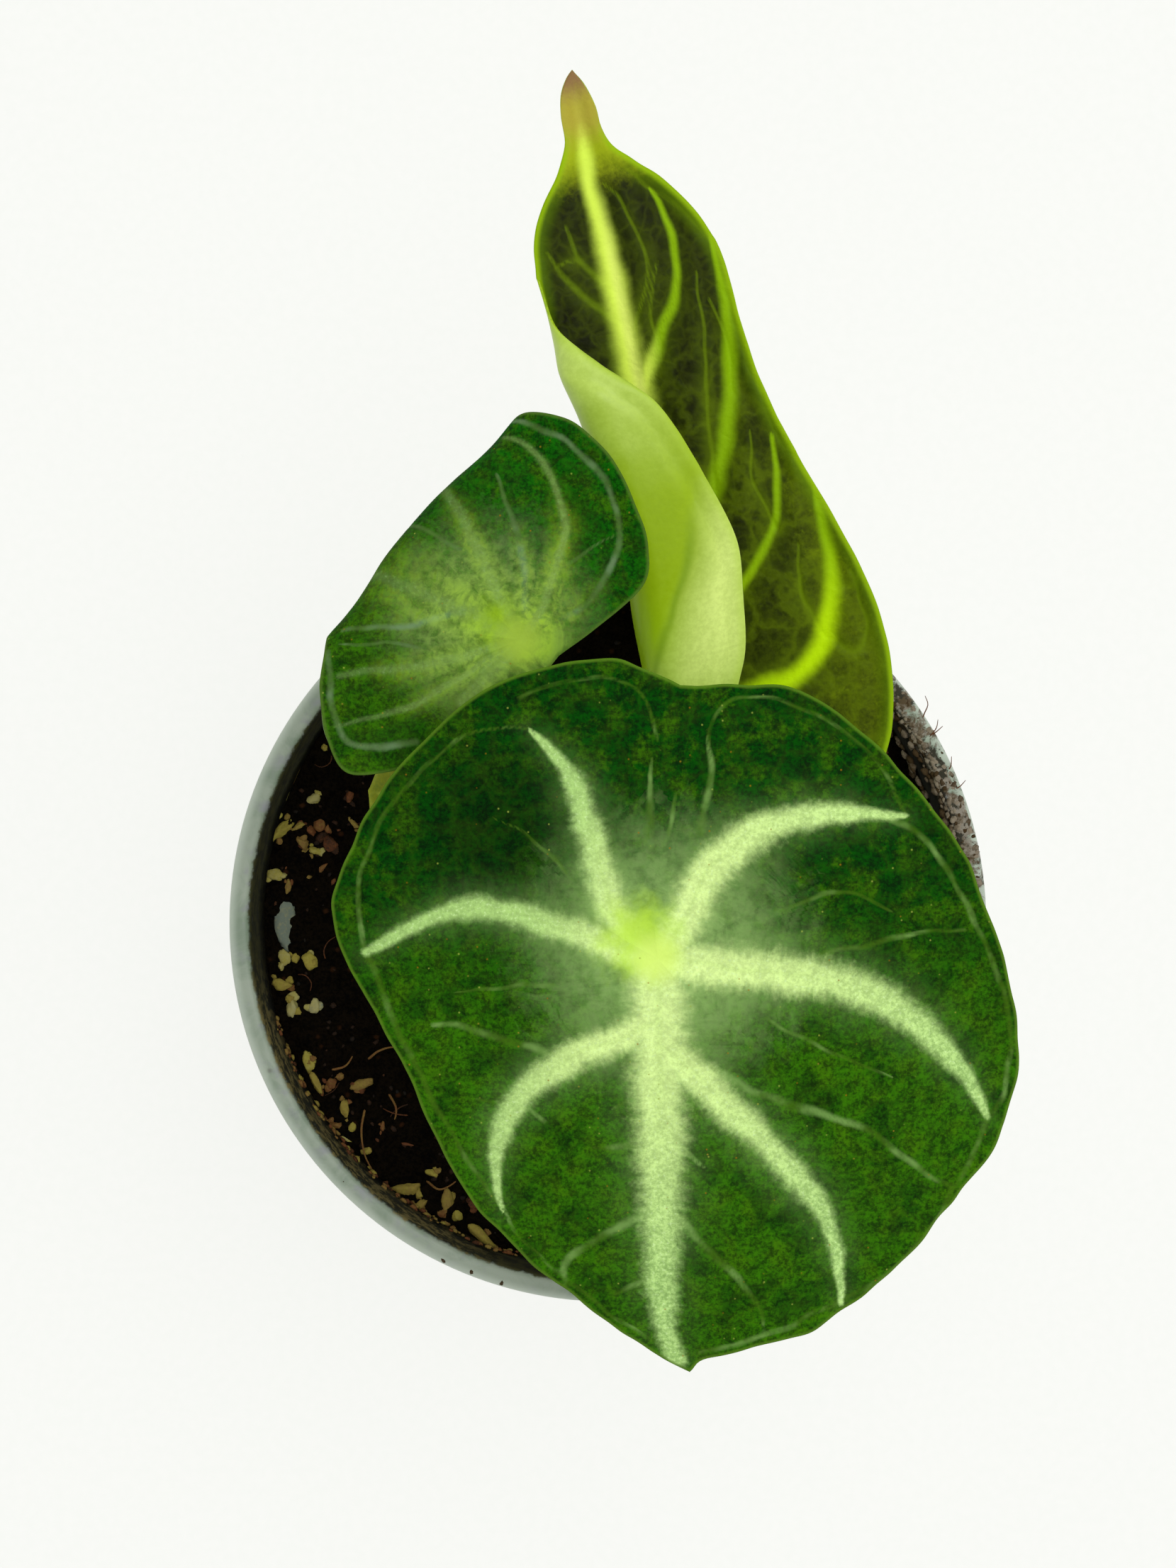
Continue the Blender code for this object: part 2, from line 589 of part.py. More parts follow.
def make_plant():
    """Build every piece of the potted plant."""
    clean_scene()
    group = collection("potted ninja alocasia")
    cutters = collection("cutters")
    green = material("mature blade", (0.02, 0.08, 0.012), 0.55)
    lime = material("young blade", (0.10, 0.16, 0.01), 0.45)
    mustard = material("old blade", (0.16, 0.15, 0.02), 0.6)
    stem = material("stalk skin", (0.30, 0.38, 0.14), 0.5)
    stalks = [
        stalk_values("front_stalk", (1.4, -3.3, 0), (0.02, -0.12, 1), FRONT_HUB,
                     front_shape, 1.7, 0.25, stem),
        stalk_values("side_stalk", (-2.6, 2.7, 0), (-0.10, 0.22, 1), SIDE_HUB,
                     side_shape, 1.4, 0.25, stem),
        stalk_values("new_stalk", (2.9, 2.0, 0), (0.12, 0.12, 1), NEW_HUB,
                     new_shape, 1.5, 0.2, stem, (0.25, 0.38, 1.0)),
        stalk_values("old_stalk", (-3.3, -1.9, 0), (-0.16, -0.06, 1), OLD_HUB,
                     old_shape, 1.1, 0.2, stem),
    ]
    make_pot(group, cutters)
    make_soil(group, cutters)
    make_crown(group, cutters, stalks)
    for stalk in stalks:
        make_stalk(stalk, group)
    make_blade("front_blade", FRONT_HUB, (FRONT_LEFT, FRONT_RIGHT), (28, 28), 10,
               front_shape, FRONT_VEINS, green, group)
    make_blade("side_blade", SIDE_HUB, (SIDE_LEFT, SIDE_RIGHT), (24, 30), 11,
               side_shape, SIDE_VEINS, green, group)
    make_blade("new_blade", NEW_HUB, (NEW_LEFT, NEW_RIGHT), (30, 30), 12,
               new_shape, NEW_VEINS, lime, group)
    make_blade("old_blade", OLD_HUB, (OLD_LEFT, OLD_RIGHT), (12, 12), 4,
               old_shape, OLD_VEINS, mustard, group)


make_plant()
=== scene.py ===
# %% [markdown]
# A young ninja alocasia in a small nursery pot, dressed for a close-up render.
# The frame holds the plain solids of every piece, in metres, with the pot's base
# centre at the origin. Each cell below looks at one piece of the real plant, says
# how it could be made in Blender, and then makes it. Leaves carry most of the
# likeness here, so most cells are about them.

import math

import bmesh
import bpy
import numpy as np
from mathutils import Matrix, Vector
from mathutils import noise as solid_noise


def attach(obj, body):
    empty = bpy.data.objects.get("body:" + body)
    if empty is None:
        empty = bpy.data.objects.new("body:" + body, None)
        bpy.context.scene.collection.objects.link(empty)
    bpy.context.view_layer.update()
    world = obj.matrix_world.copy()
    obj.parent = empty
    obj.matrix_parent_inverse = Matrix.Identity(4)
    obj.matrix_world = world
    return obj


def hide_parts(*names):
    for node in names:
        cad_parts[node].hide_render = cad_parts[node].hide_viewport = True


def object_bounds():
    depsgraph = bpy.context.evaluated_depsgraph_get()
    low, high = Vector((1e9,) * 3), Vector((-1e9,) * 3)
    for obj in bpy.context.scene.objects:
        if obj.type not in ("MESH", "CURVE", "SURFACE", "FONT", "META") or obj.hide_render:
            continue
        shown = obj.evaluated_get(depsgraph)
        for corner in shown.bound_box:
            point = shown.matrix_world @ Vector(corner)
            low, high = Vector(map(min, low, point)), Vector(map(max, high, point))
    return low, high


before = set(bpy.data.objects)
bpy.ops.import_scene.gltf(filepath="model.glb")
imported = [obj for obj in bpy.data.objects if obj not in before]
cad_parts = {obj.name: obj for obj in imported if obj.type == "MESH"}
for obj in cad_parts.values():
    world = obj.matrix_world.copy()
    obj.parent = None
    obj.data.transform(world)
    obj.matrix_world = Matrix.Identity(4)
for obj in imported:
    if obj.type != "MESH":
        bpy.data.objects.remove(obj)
cad_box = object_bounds()
MM = 0.001
print("solids:", sorted(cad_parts))

# %% [markdown]
# The photograph looks straight down into the pot: the rim is a true circle in it.
# So the camera hangs above the rim and faces down. Its distance sets how much
# larger the high leaves look than the rim, and its lens is worked out so that the
# rim has the size it has in the photograph.

# %% Camera straight above the pot
POT_HEIGHT = 62 * MM
RIM_RADIUS = 35 * MM
PHOTO_SIZE = (1659, 2212)
RIM_CENTRE_PX = (857.6, 1302.8)
RIM_RADIUS_PX = 535.4
CAMERA_DISTANCE = 250 * MM
SENSOR_MM = 36.0

metres_per_px = RIM_RADIUS / RIM_RADIUS_PX
camera_x = (PHOTO_SIZE[0] / 2 - RIM_CENTRE_PX[0]) * metres_per_px
camera_y = (RIM_CENTRE_PX[1] - PHOTO_SIZE[1] / 2) * metres_per_px

camera_data = bpy.data.cameras.new("camera")
camera_data.sensor_fit = "VERTICAL"
camera_data.sensor_height = SENSOR_MM
camera_data.lens = SENSOR_MM * CAMERA_DISTANCE / (PHOTO_SIZE[1] * metres_per_px)
camera_data.clip_start = 0.01
camera = bpy.data.objects.new("camera", camera_data)
camera.location = (camera_x, camera_y, POT_HEIGHT + CAMERA_DISTANCE)
bpy.context.scene.collection.objects.link(camera)
bpy.context.scene.camera = camera
print("lens: %.1f mm" % camera_data.lens)

# %% [markdown]
# The light in the photograph is soft and comes from above, with almost no shadow,
# and the background is burnt out to white. A white world gives the even part, and
# one large soft lamp gives the leaves their gentle shape. The floor glows a little
# so that it stays white around the pot. The plain Standard view keeps the greens
# as saturated as they are in the photograph.

# %% Light, floor and view
WORLD_STRENGTH = 0.60
LAMP_POWER = 2.5
LAMP_SIZE = 0.5
LAMP_PLACE = (0.16, 0.12, 0.75)
FLOOR_SIZE = 8.0
FLOOR_DROP = 0.1 * MM

scene = bpy.context.scene
scene.view_settings.view_transform = "Standard"
world = bpy.data.worlds.new("soft daylight")
world.use_nodes = True
sky = world.node_tree.nodes["Background"]
sky.inputs["Color"].default_value = (1.0, 1.0, 1.0, 1.0)
sky.inputs["Strength"].default_value = WORLD_STRENGTH
scene.world = world

lamp_data = bpy.data.lights.new("window light", "AREA")
lamp_data.energy = LAMP_POWER
lamp_data.size = LAMP_SIZE
lamp = bpy.data.objects.new("window light", lamp_data)
lamp.location = LAMP_PLACE
lamp.rotation_euler = (-Vector(LAMP_PLACE)).to_track_quat("-Z", "Y").to_euler()
scene.collection.objects.link(lamp)

# %% [markdown]
# Materials here are built from nodes in code. These few helpers keep that short:
# one adds a node and fills or links its inputs, the others wrap the nodes that
# come up again and again. None of them holds a look of its own.

# %% Helpers for building node materials


def add_node(tree, kind, inputs=None, **settings):
    """Add a node, set its options, and fill each input with a value or a link."""
    node = tree.nodes.new(kind)
    for option, value in settings.items():
        setattr(node, option, value)
    for key, value in (inputs or {}).items():
        socket = node.inputs[key]
        if isinstance(value, bpy.types.NodeSocket):
            tree.links.new(value, socket)
        elif socket.type == "RGBA":
            socket.default_value = (*value, 1.0)
        else:
            socket.default_value = value
    return node


def calc(tree, operation, first, second=0.0, clamp=False):
    """A Math node: returns its output."""
    inputs = {0: first, 1: second}
    return add_node(tree, "ShaderNodeMath", inputs, operation=operation, use_clamp=clamp).outputs[0]


def times(tree, first, second, clamp=False):
    """Product of two numbers."""
    return calc(tree, "MULTIPLY", first, second, clamp)


def plus(tree, first, second):
    """Sum of two numbers."""
    return calc(tree, "ADD", first, second)


def vector_math(tree, operation, first, second=(0.0, 0.0, 0.0), scale=None):
    """A Vector Math node: returns its number where it has one, and else its vector."""
    inputs = {0: first, 1: second} if scale is None else {0: first, "Scale": scale}
    node = add_node(tree, "ShaderNodeVectorMath", inputs, operation=operation)
    gives_number = operation in ("DISTANCE", "DOT_PRODUCT", "LENGTH")
    return node.outputs["Value" if gives_number else "Vector"]


def remap(tree, value, low, high, to_low=0.0, to_high=1.0):
    """A smooth step from low to high, put out between to_low and to_high."""
    inputs = {"Value": value, "From Min": low, "From Max": high}
    inputs.update({"To Min": to_low, "To Max": to_high})
    node = add_node(tree, "ShaderNodeMapRange", inputs, interpolation_type="SMOOTHSTEP")
    return node.outputs["Result"]


def blend(tree, factor, first, second, mode="MIX"):
    """Mix two colours: returns the colour."""
    inputs = {0: factor, 6: first, 7: second}
    return add_node(tree, "ShaderNodeMix", inputs, data_type="RGBA", blend_type=mode).outputs[2]


def painted(tree, name):
    """Read a number that the mesh stores at each point."""
    return add_node(tree, "ShaderNodeAttribute", attribute_name=name).outputs["Fac"]


def plan_place(tree):
    """Read the flat place in millimetres that each blade point keeps."""
    return add_node(tree, "ShaderNodeAttribute", attribute_name="plan").outputs["Vector"]


def noise(tree, vector, scale, detail=2.0, rough=0.5, warp=0.0):
    """Smooth noise around 0.5."""
    inputs = {"Vector": vector, "Scale": scale, "Detail": detail}
    inputs.update({"Roughness": rough, "Distortion": warp})
    return add_node(tree, "ShaderNodeTexNoise", inputs).outputs["Fac"]


def new_group(name, inputs, outputs):
    """Start a node group with named sockets and return it with its two ends."""
    tree = bpy.data.node_groups.new(name, "ShaderNodeTree")
    for label, value in inputs.items():
        kind = "NodeSocketVector" if value is None else "NodeSocketFloat"
        socket = tree.interface.new_socket(name=label, in_out="INPUT", socket_type=kind)
        if value is not None:
            socket.default_value = value
    for label in outputs:
        tree.interface.new_socket(name=label, in_out="OUTPUT", socket_type="NodeSocketFloat")
    return tree, tree.nodes.new("NodeGroupInput").outputs, tree.nodes.new("NodeGroupOutput")


def use_group(tree, group, inputs):
    """Place a node group with its own values and return its outputs."""
    return add_node(tree, "ShaderNodeGroup", inputs, node_tree=group).outputs


def new_material(name, roughness, specular):
    """Start a Principled material: returns it, its tree and its shader node."""
    paint = bpy.data.materials.new(name)
    paint.use_nodes = True
    tree = paint.node_tree
    shader = tree.nodes["Principled BSDF"]
    shader.inputs["Roughness"].default_value = roughness
    shader.inputs["Specular IOR Level"].default_value = specular
    return paint, tree, shader


def finish_look(tree, shader, color, rough, height, strength, depth):
    """Give the shader its colour, its roughness and a bump some millimetres deep."""
    tree.links.new(color, shader.inputs["Base Color"])
    tree.links.new(rough, shader.inputs["Roughness"])
    inputs = {"Height": height, "Strength": strength, "Distance": depth * MM}
    bump = add_node(tree, "ShaderNodeBump", inputs)
    tree.links.new(bump.outputs["Normal"], shader.inputs["Normal"])


# %% [markdown]
# The floor is only a stage. It is a plain white sheet of paper with a very faint
# fibre, and a little light of its own.

# %% White paper floor
PAPER_GLOW = 0.76

paper, tree, shader = new_material("white paper", 0.9, 0.1)
place = add_node(tree, "ShaderNodeTexCoord").outputs["Object"]
fibre = remap(tree, noise(tree, place, 900.0, 3.0), 0.3, 0.7)
own_color = blend(tree, fibre, (0.205, 0.210, 0.200), (0.215, 0.220, 0.210))
tree.links.new(own_color, shader.inputs["Base Color"])
glow_color = blend(tree, fibre, (0.990, 1.0, 0.962), (0.996, 1.0, 0.966))
tree.links.new(glow_color, shader.inputs["Emission Color"])
shader.inputs["Emission Strength"].default_value = PAPER_GLOW

bpy.ops.mesh.primitive_plane_add(size=FLOOR_SIZE, location=(0.0, 0.0, -FLOOR_DROP))
floor = bpy.context.object
floor.name = "floor"
floor.data.materials.append(paper)

# %% [markdown]
# A blade is drawn flat first, as a seamstress would cut it: an outline and vein
# lines, in millimetres from the point where the stalk meets the blade. A smooth
# line through a few given points does for both. The distance from every mesh point
# to the veins and to the edge is then worked out once, and stored on the mesh, so
# that the material can draw veins of any width without an image.

# %% Smooth lines and distances
SPLINE_STEPS = 24
SMOOTHING_ROUNDS = 26
FAR = 99.0
TAPER_POWER = 2.4
VEIN_STRIDE = 37.0
HAZE_WIDTHS = 1.3
HAZE_EXTRA = 0.7
HAZE_FADES = 0.86
WAVER_SEED = 7

# Blender starts its vector noise from the clock: a fixed seed makes every run the same.
solid_noise.seed_set(WAVER_SEED)


def spline(points, count):
    """Return count + 1 evenly spaced points on a smooth line through given points."""
    hand = np.array(points, dtype=float)
    before = 2.0 * hand[:1] - hand[1:2]
    after = 2.0 * hand[-1:] - hand[-2:-1]
    line = np.concatenate([before, hand, after])
    shares = np.linspace(0.0, 1.0, SPLINE_STEPS, endpoint=False)[:, None]
    fine = []
    for i in range(1, len(line) - 2):
        a, b, c, d = line[i - 1:i + 3]
        bend = (2 * a - 5 * b + 4 * c - d) * shares ** 2
        twist = (3 * b - a - 3 * c + d) * shares ** 3
        fine.append(0.5 * (2 * b + (c - a) * shares + bend + twist))
    fine = np.concatenate(fine + [line[-2:-1]])
    steps = np.linalg.norm(np.diff(fine, axis=0), axis=1)
    length = np.concatenate([[0.0], np.cumsum(steps)])
    wanted = np.linspace(0.0, length[-1], count + 1)
    columns = [np.interp(wanted, length, fine[:, k]) for k in range(fine.shape[1])]
    return np.stack(columns, axis=1)


def soft_line(hand):
    """Smooth line with the small kinks of given points ironed out."""
    line = spline(hand, 8 * len(hand))
    for smoothing in range(SMOOTHING_ROUNDS):
        line[1:-1] = 0.5 * line[1:-1] + 0.25 * (line[:-2] + line[2:])
    return line


def vein_fields(points, veins):
    """Four numbers for each point, by name: reach, along, shade and power.

    A vein is (points, half-width at its start, half-width at its end).
    Reach is the distance to the nearest vein in its half-widths, along is the
    place on that vein, shade is the pale haze that the veins give off, and power
    is the nearest vein's half-width at its start. VEIN_STRIDE keeps the noise on
    one vein unlike that on the next.
    """
    reach = np.full(len(points), FAR)
    along = np.zeros(len(points))
    shade = np.zeros(len(points))
    power = np.zeros(len(points))
    for number, (hand, wide, narrow) in enumerate(veins):
        line = soft_line(hand)
        length = 0.0
        for i in range(len(line) - 1):
            step = line[i + 1] - line[i]
            size = np.linalg.norm(step)
            share = np.clip((points - line[i]) @ step / size ** 2, 0.0, 1.0)
            gap = np.linalg.norm(points - line[i] - share[:, None] * step, axis=1)
            travelled = (i + share) / (len(line) - 1)
            half_width = wide + (narrow - wide) * travelled ** TAPER_POWER
            here = gap / half_width
            nearer = here < reach
            reach = np.where(nearer, here, reach)
            power = np.where(nearer, wide, power)
            along = np.where(nearer, length + share * size + VEIN_STRIDE * number, along)
            spread = HAZE_WIDTHS * half_width + HAZE_EXTRA
            fading = 1.0 - HAZE_FADES * travelled
            shade = np.maximum(shade, fading * np.exp(-(gap / spread) ** 2))
            length += size
    return {"reach": reach, "along": along, "shade": shade, "power": power}


def line_distance(points, line):
    """Plain distance from each point to a chain of straight pieces."""
    nearest = np.full(len(points), FAR)
    for start, end in zip(line[:-1], line[1:]):
        step = end - start
        share = np.clip((points - start) @ step / (step @ step), 0.0, 1.0)
        gap = np.linalg.norm(points - start - share[:, None] * step, axis=1)
        nearest = np.minimum(nearest, gap)
    return nearest


def waver(points, size, pitch, seed):
    """Shift points a little, so that nothing measured from them is ruler-straight."""
    shifts = [solid_noise.noise_vector(Vector((x * pitch, y * pitch, seed))) for x, y in points]
    return points + size * np.array(shifts)[:, :2]


# %% [markdown]
# A leaf could be sculpted, or subdivided from a cage. Here it is a sheet of rings
# that grow from the hub to the outline, because the same rings suit a round leaf,
# a folded one and a rolled one: only the function that bends the flat place into
# space is different. The main veins lie in shallow channels, the flesh between
# them swells into cushions, and Solidify gives the sheet its two faces and its
# edge. A vertex group makes the ribs thick and the margin thin.

# %% Blade maker
BLADE_FULL = 1.3 * MM
MARGIN_SHARE = 0.35
FLESH_SHARE = 0.42
CHANNEL_MM = 0.32
CUSHION_MM = 0.50
CUSHION_REACH = 3.2
QUILT_MM = 0.13
QUILT_REACH = 1.8
RIB_WIDTH = 1.1
LIP_MM = 0.12
LIP_PLACE, LIP_WIDTH = 0.5, 0.45
FURROW_PLACE, FURROW_WIDTH = 1.7, 0.6
MARGIN_WIDTH = 2.5
REACH_LIMIT = 20.0
WAVER_MM, WAVER_PITCH = 0.34, 0.42
RIPPLE_PITCH, RIPPLE_SCALE = 0.35, 30.0
RING_POWER = 0.92
CEILING_MM = cad_box[1][2] / MM - 0.02
HUBS = {
    "front_blade": (3.7, -1.0, 97.0), "side_blade": (-7.4, 24.6, 91.0),
    "new_blade": (8.8, 19.5, 73.0), "old_blade": (-10.5, 9.5, 79.5),
}


def blade_rings(left, right, spokes, rings, ripple, seed):
    """Flat points from the hub out to a slightly uneven outline."""
    outline = np.concatenate([spline(left, spokes)[:-1], spline(right, spokes)[:-1]])
    spots = [Vector((x * RIPPLE_PITCH, y * RIPPLE_PITCH, seed)) for x, y in outline]
    wobble = np.array([solid_noise.noise(spot) for spot in spots])[:, None]
    outline = outline * (1.0 + ripple * wobble / RIPPLE_SCALE)
    shares = (np.arange(1, rings + 1) / rings) ** RING_POWER
    grid = [outline * share for share in shares]
    return np.concatenate([[[0.0, 0.0]], *grid]), outline


def sheet_faces(spokes, rings):
    """Triangles round the hub and quads between the rings."""
    turn = np.arange(spokes)
    following = (turn + 1) % spokes
    faces = [(0, 1 + b, 1 + a) for a, b in zip(turn, following)]
    for k in range(rings - 1):
        inner, outer = 1 + k * spokes, 1 + (k + 1) * spokes
        for a, b in zip(turn, following):
            faces.append((inner + a, inner + b, outer + b, outer + a))
    return faces


def store(mesh, name, values):
    """Keep one number for each point of the mesh."""
    layer = mesh.attributes.new(name, "FLOAT", "POINT")
    layer.data.foreach_set("value", np.asarray(values, dtype=np.float32))


def store_plan(mesh, flat):
    """Keep each point's place in the flat cut, in millimetres."""
    layer = mesh.attributes.new("plan", "FLOAT_VECTOR", "POINT")
    flat_3d = np.concatenate([flat, np.zeros((len(flat), 1))], axis=1)
    layer.data.foreach_set("vector", flat_3d.astype(np.float32).ravel())


def thicken(blade, strengths):
    """Solidify: the vertex group holds each point's share of the full thickness."""
    group = blade.vertex_groups.new(name="thickness")
    for i, strength in enumerate(strengths):
        group.add([i], float(strength), "REPLACE")
    modifier = blade.modifiers.new("Thickness", "SOLIDIFY")
    modifier.thickness = BLADE_FULL
    modifier.offset = -1.0
    modifier.use_even_offset = False
    modifier.vertex_group = "thickness"
    modifier.thickness_vertex_group = 0.0
    modifier.material_offset = 1
    modifier.material_offset_rim = 2


def make_blade(name, node, outline, veins, shape, size, looks):
    """Build one blade on its hub.

    veins are (main, thin, pale zones) and size is (spokes, rings, ripple, seed).
    """
    main_veins, thin_veins, pale_zones = veins
    spokes, rings, ripple, seed = size
    flat, outer = blade_rings(outline[0], outline[1], spokes // 2, rings, ripple, seed)
    wavered = waver(flat, WAVER_MM, WAVER_PITCH, seed)
    main = vein_fields(wavered, main_veins)
    thin = vein_fields(wavered, thin_veins)
    shade = vein_fields(wavered, pale_zones)["shade"]
    edge = line_distance(flat, np.concatenate([outer, outer[:1]]))
    centre_lines = [(vein[0], 1.0, 1.0) for vein in main_veins]
    gap = vein_fields(flat, centre_lines)["reach"]

    rib = np.exp(-(gap / RIB_WIDTH) ** 2)
    relief = CUSHION_MM * (1.0 - np.exp(-(gap / CUSHION_REACH) ** 2)) - CHANNEL_MM * rib
    relief -= QUILT_MM * np.exp(-(thin["reach"] / QUILT_REACH) ** 2)
    lip = np.exp(-((edge - LIP_PLACE) / LIP_WIDTH) ** 2)
    relief += LIP_MM * (lip - np.exp(-((edge - FURROW_PLACE) / FURROW_WIDTH) ** 2))
    relief -= relief[0]
    solid = shape(flat)
    solid[:, 2] += relief
    solid[:, 2] = np.minimum(solid[:, 2], CEILING_MM - HUBS[node][2])
    mesh = bpy.data.meshes.new(name)
    points = [tuple(point) for point in (solid + np.array(HUBS[node])) * MM]
    mesh.from_pydata(points, [], sheet_faces(len(outer), rings))
    if mesh.polygons[0].normal.z < 0.0:
        mesh.flip_normals()
    mesh.shade_smooth()
    kept = {
        "vein_reach": np.minimum(main["reach"], REACH_LIMIT), "vein_along": main["along"],
        "vein_shade": shade,
        "thin_reach": np.minimum(thin["reach"], REACH_LIMIT), "thin_along": thin["along"],
        "thin_power": thin["power"], "edge_gap": edge, "hub_gap": np.linalg.norm(flat, axis=1),
    }
    for label, values in kept.items():
        store(mesh, label, values)
    store_plan(mesh, flat)

    blade = bpy.data.objects.new(name, mesh)
    bpy.context.scene.collection.objects.link(blade)
    for paint in looks:
        mesh.materials.append(paint)
    fade = MARGIN_SHARE + (1.0 - MARGIN_SHARE) * np.clip(edge / MARGIN_WIDTH, 0.0, 1.0)
    thicken(blade, (FLESH_SHARE + (1.0 - FLESH_SHARE) * rib) * fade)
    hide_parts(node)
    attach(blade, "root")
    print("%s: %d points" % (name, len(mesh.vertices)))
    return blade


# %% [markdown]
# The pale veins of this plant have no hard border. Tiny fibres of the pale tissue
# run out into the dark green at right angles to the vein, so the edge looks
# combed. The group below moves the border by noise that is stretched across the
# vein, plus a finer noise that frays it.

# %% Node group for feathered veins


def make_feather_group():
    """Mask of a vein with a combed, frayed border, and the fibres by themselves."""
    inputs = {"Reach": 1.0, "Along": 0.0, "Place": None, "Softness": 0.25, "Feather": 0.6}
    tree, given, end = new_group("feathered vein", inputs, ["Mask", "Fibres"])
    stretched = add_node(tree, "ShaderNodeCombineXYZ", {
        "X": times(tree, given["Along"], 1.5),
        "Y": times(tree, given["Reach"], 0.5),
    }).outputs[0]
    comb = noise(tree, stretched, 1.0, 4.0, 0.62, 0.5)
    fray = noise(tree, given["Place"], 1.6, 4.0, 0.65)
    both = plus(tree, comb, fray)
    shift = times(tree, calc(tree, "SUBTRACT", both, 1.0), given["Feather"])
    moved = plus(tree, given["Reach"], shift)
    low = calc(tree, "SUBTRACT", 1.0, given["Softness"])
    high = plus(tree, 1.0, given["Softness"])
    mask = calc(tree, "SUBTRACT", 1.0, remap(tree, moved, low, high))
    tree.links.new(mask, end.inputs["Mask"])
    tree.links.new(comb, end.inputs["Fibres"])
    return tree


feather_group = make_feather_group()

# %% [markdown]
# Up close the upper face is a velvet of tiny domed cells, each a fraction of a
# millimetre across. Two noises of unlike size and a fine cell pattern give that
# grain. Every leaf face uses it for colour and for bump at its own scale, and so
# do the soil, the chips, the dust and the crown.

# %% Node group for velvet grain


def make_grain_group():
    """Velvet grain: an even one for colour and a domed one for height."""
    inputs = {"Place": None, "Fine": 5.0, "Coarse": 1.2}
    tree, given, end = new_group("velvet grain", inputs, ["Grain", "Height"])
    fine = noise(tree, given["Place"], given["Fine"], 3.0, 0.7)
    coarse = noise(tree, given["Place"], given["Coarse"], 3.0, 0.6)
    cells = add_node(tree, "ShaderNodeTexVoronoi", {
        "Vector": given["Place"], "Scale": given["Fine"],
    }, feature="SMOOTH_F1").outputs["Distance"]
    grain = plus(tree, times(tree, fine, 0.6), times(tree, coarse, 0.4))
    height = calc(tree, "SUBTRACT", grain, times(tree, cells, 0.6))
    tree.links.new(grain, end.inputs["Grain"])
    tree.links.new(height, end.inputs["Height"])
    return tree


grain_group = make_grain_group()

# %% [markdown]
# Between the drawn veins a leaf has a net of much finer ones that close into
# small cells. The edges of a cell pattern, bent a little by noise, look just like
# it, and need no lines on the mesh.

# %% Node group for the fine net


def make_net_group():
    """Mask of a net of fine veins."""
    inputs = {"Place": None, "Cells": 0.5, "Width": 0.06, "Bend": 0.6}
    tree, given, end = new_group("fine vein net", inputs, ["Mask", "Cell"])
    bend_source = add_node(tree, "ShaderNodeTexNoise", {
        "Vector": given["Place"], "Scale": 0.9, "Detail": 2.0,
    }).outputs["Color"]
    centred = vector_math(tree, "SUBTRACT", bend_source, (0.5, 0.5, 0.5))
    scaled = vector_math(tree, "SCALE", centred, scale=given["Bend"])
    moved = vector_math(tree, "ADD", given["Place"], scaled)
    border = add_node(tree, "ShaderNodeTexVoronoi", {
        "Vector": moved, "Scale": given["Cells"],
    }, feature="DISTANCE_TO_EDGE").outputs["Distance"]
    flat = calc(tree, "SUBTRACT", 1.0, remap(tree, border, 0.0, given["Width"]))
    tree.links.new(flat, end.inputs["Mask"])
    tree.links.new(border, end.inputs["Cell"])
    return tree


net_group = make_net_group()

# %% [markdown]
# Pale and rusty specks of dust and dried nectar lie on the leaves and on the pot.
# A cell pattern gives each cell a dot, and only the few cells with a high random
# number keep theirs.

# %% Node group for scattered specks


def make_speck_group():
    """Mask of sparse small dots."""
    inputs = {"Place": None, "Cells": 1.1, "Size": 0.09, "Share": 0.25}
    tree, given, end = new_group("scattered specks", inputs, ["Mask", "Chance"])
    dots = add_node(tree, "ShaderNodeTexVoronoi", {"Vector": given["Place"], "Scale": given["Cells"]})
    chance = add_node(tree, "ShaderNodeSeparateColor", {"Color": dots.outputs["Color"]}).outputs[0]
    kept = calc(tree, "LESS_THAN", chance, given["Share"])
    dot = calc(tree, "SUBTRACT", 1.0, remap(tree, dots.outputs["Distance"], 0.0, given["Size"]))
    tree.links.new(times(tree, dot, kept), end.inputs["Mask"])
    tree.links.new(chance, end.inputs["Chance"])
    return tree


speck_group = make_speck_group()

# %% [markdown]
# The mature upper face: blue-black green, with mint veins that turn yellow-green
# at the hub. Light and shade are painted into the flesh: it is darker at the back
# of the leaf and lighter and warmer towards the tip, and a patch of painted shade
# darkens it further. The layers go on from the ground up, as a painter would:
# flesh, grain, net, haze, thin veins, main veins, hub, specks and the pale margin.

# %% Material of the mature upper face


def shaded(tree, color, grain, low, high, dark, light):
    """Darken a colour in the low parts of a grain and brighten it in the high ones."""
    shade = remap(tree, grain, low, high, dark, light)
    gray = add_node(tree, "ShaderNodeCombineColor", {0: shade, 1: shade, 2: shade})
    return blend(tree, 1.0, color, gray.outputs[0], "MULTIPLY")


def feathered(tree, place, kind, softness, feather):
    """The feather group, on the main veins (kind is "vein") or on the thin ones ("thin")."""
    return use_group(tree, feather_group, {
        "Reach": painted(tree, kind + "_reach"), "Along": painted(tree, kind + "_along"),
        "Place": place, "Softness": softness, "Feather": feather})


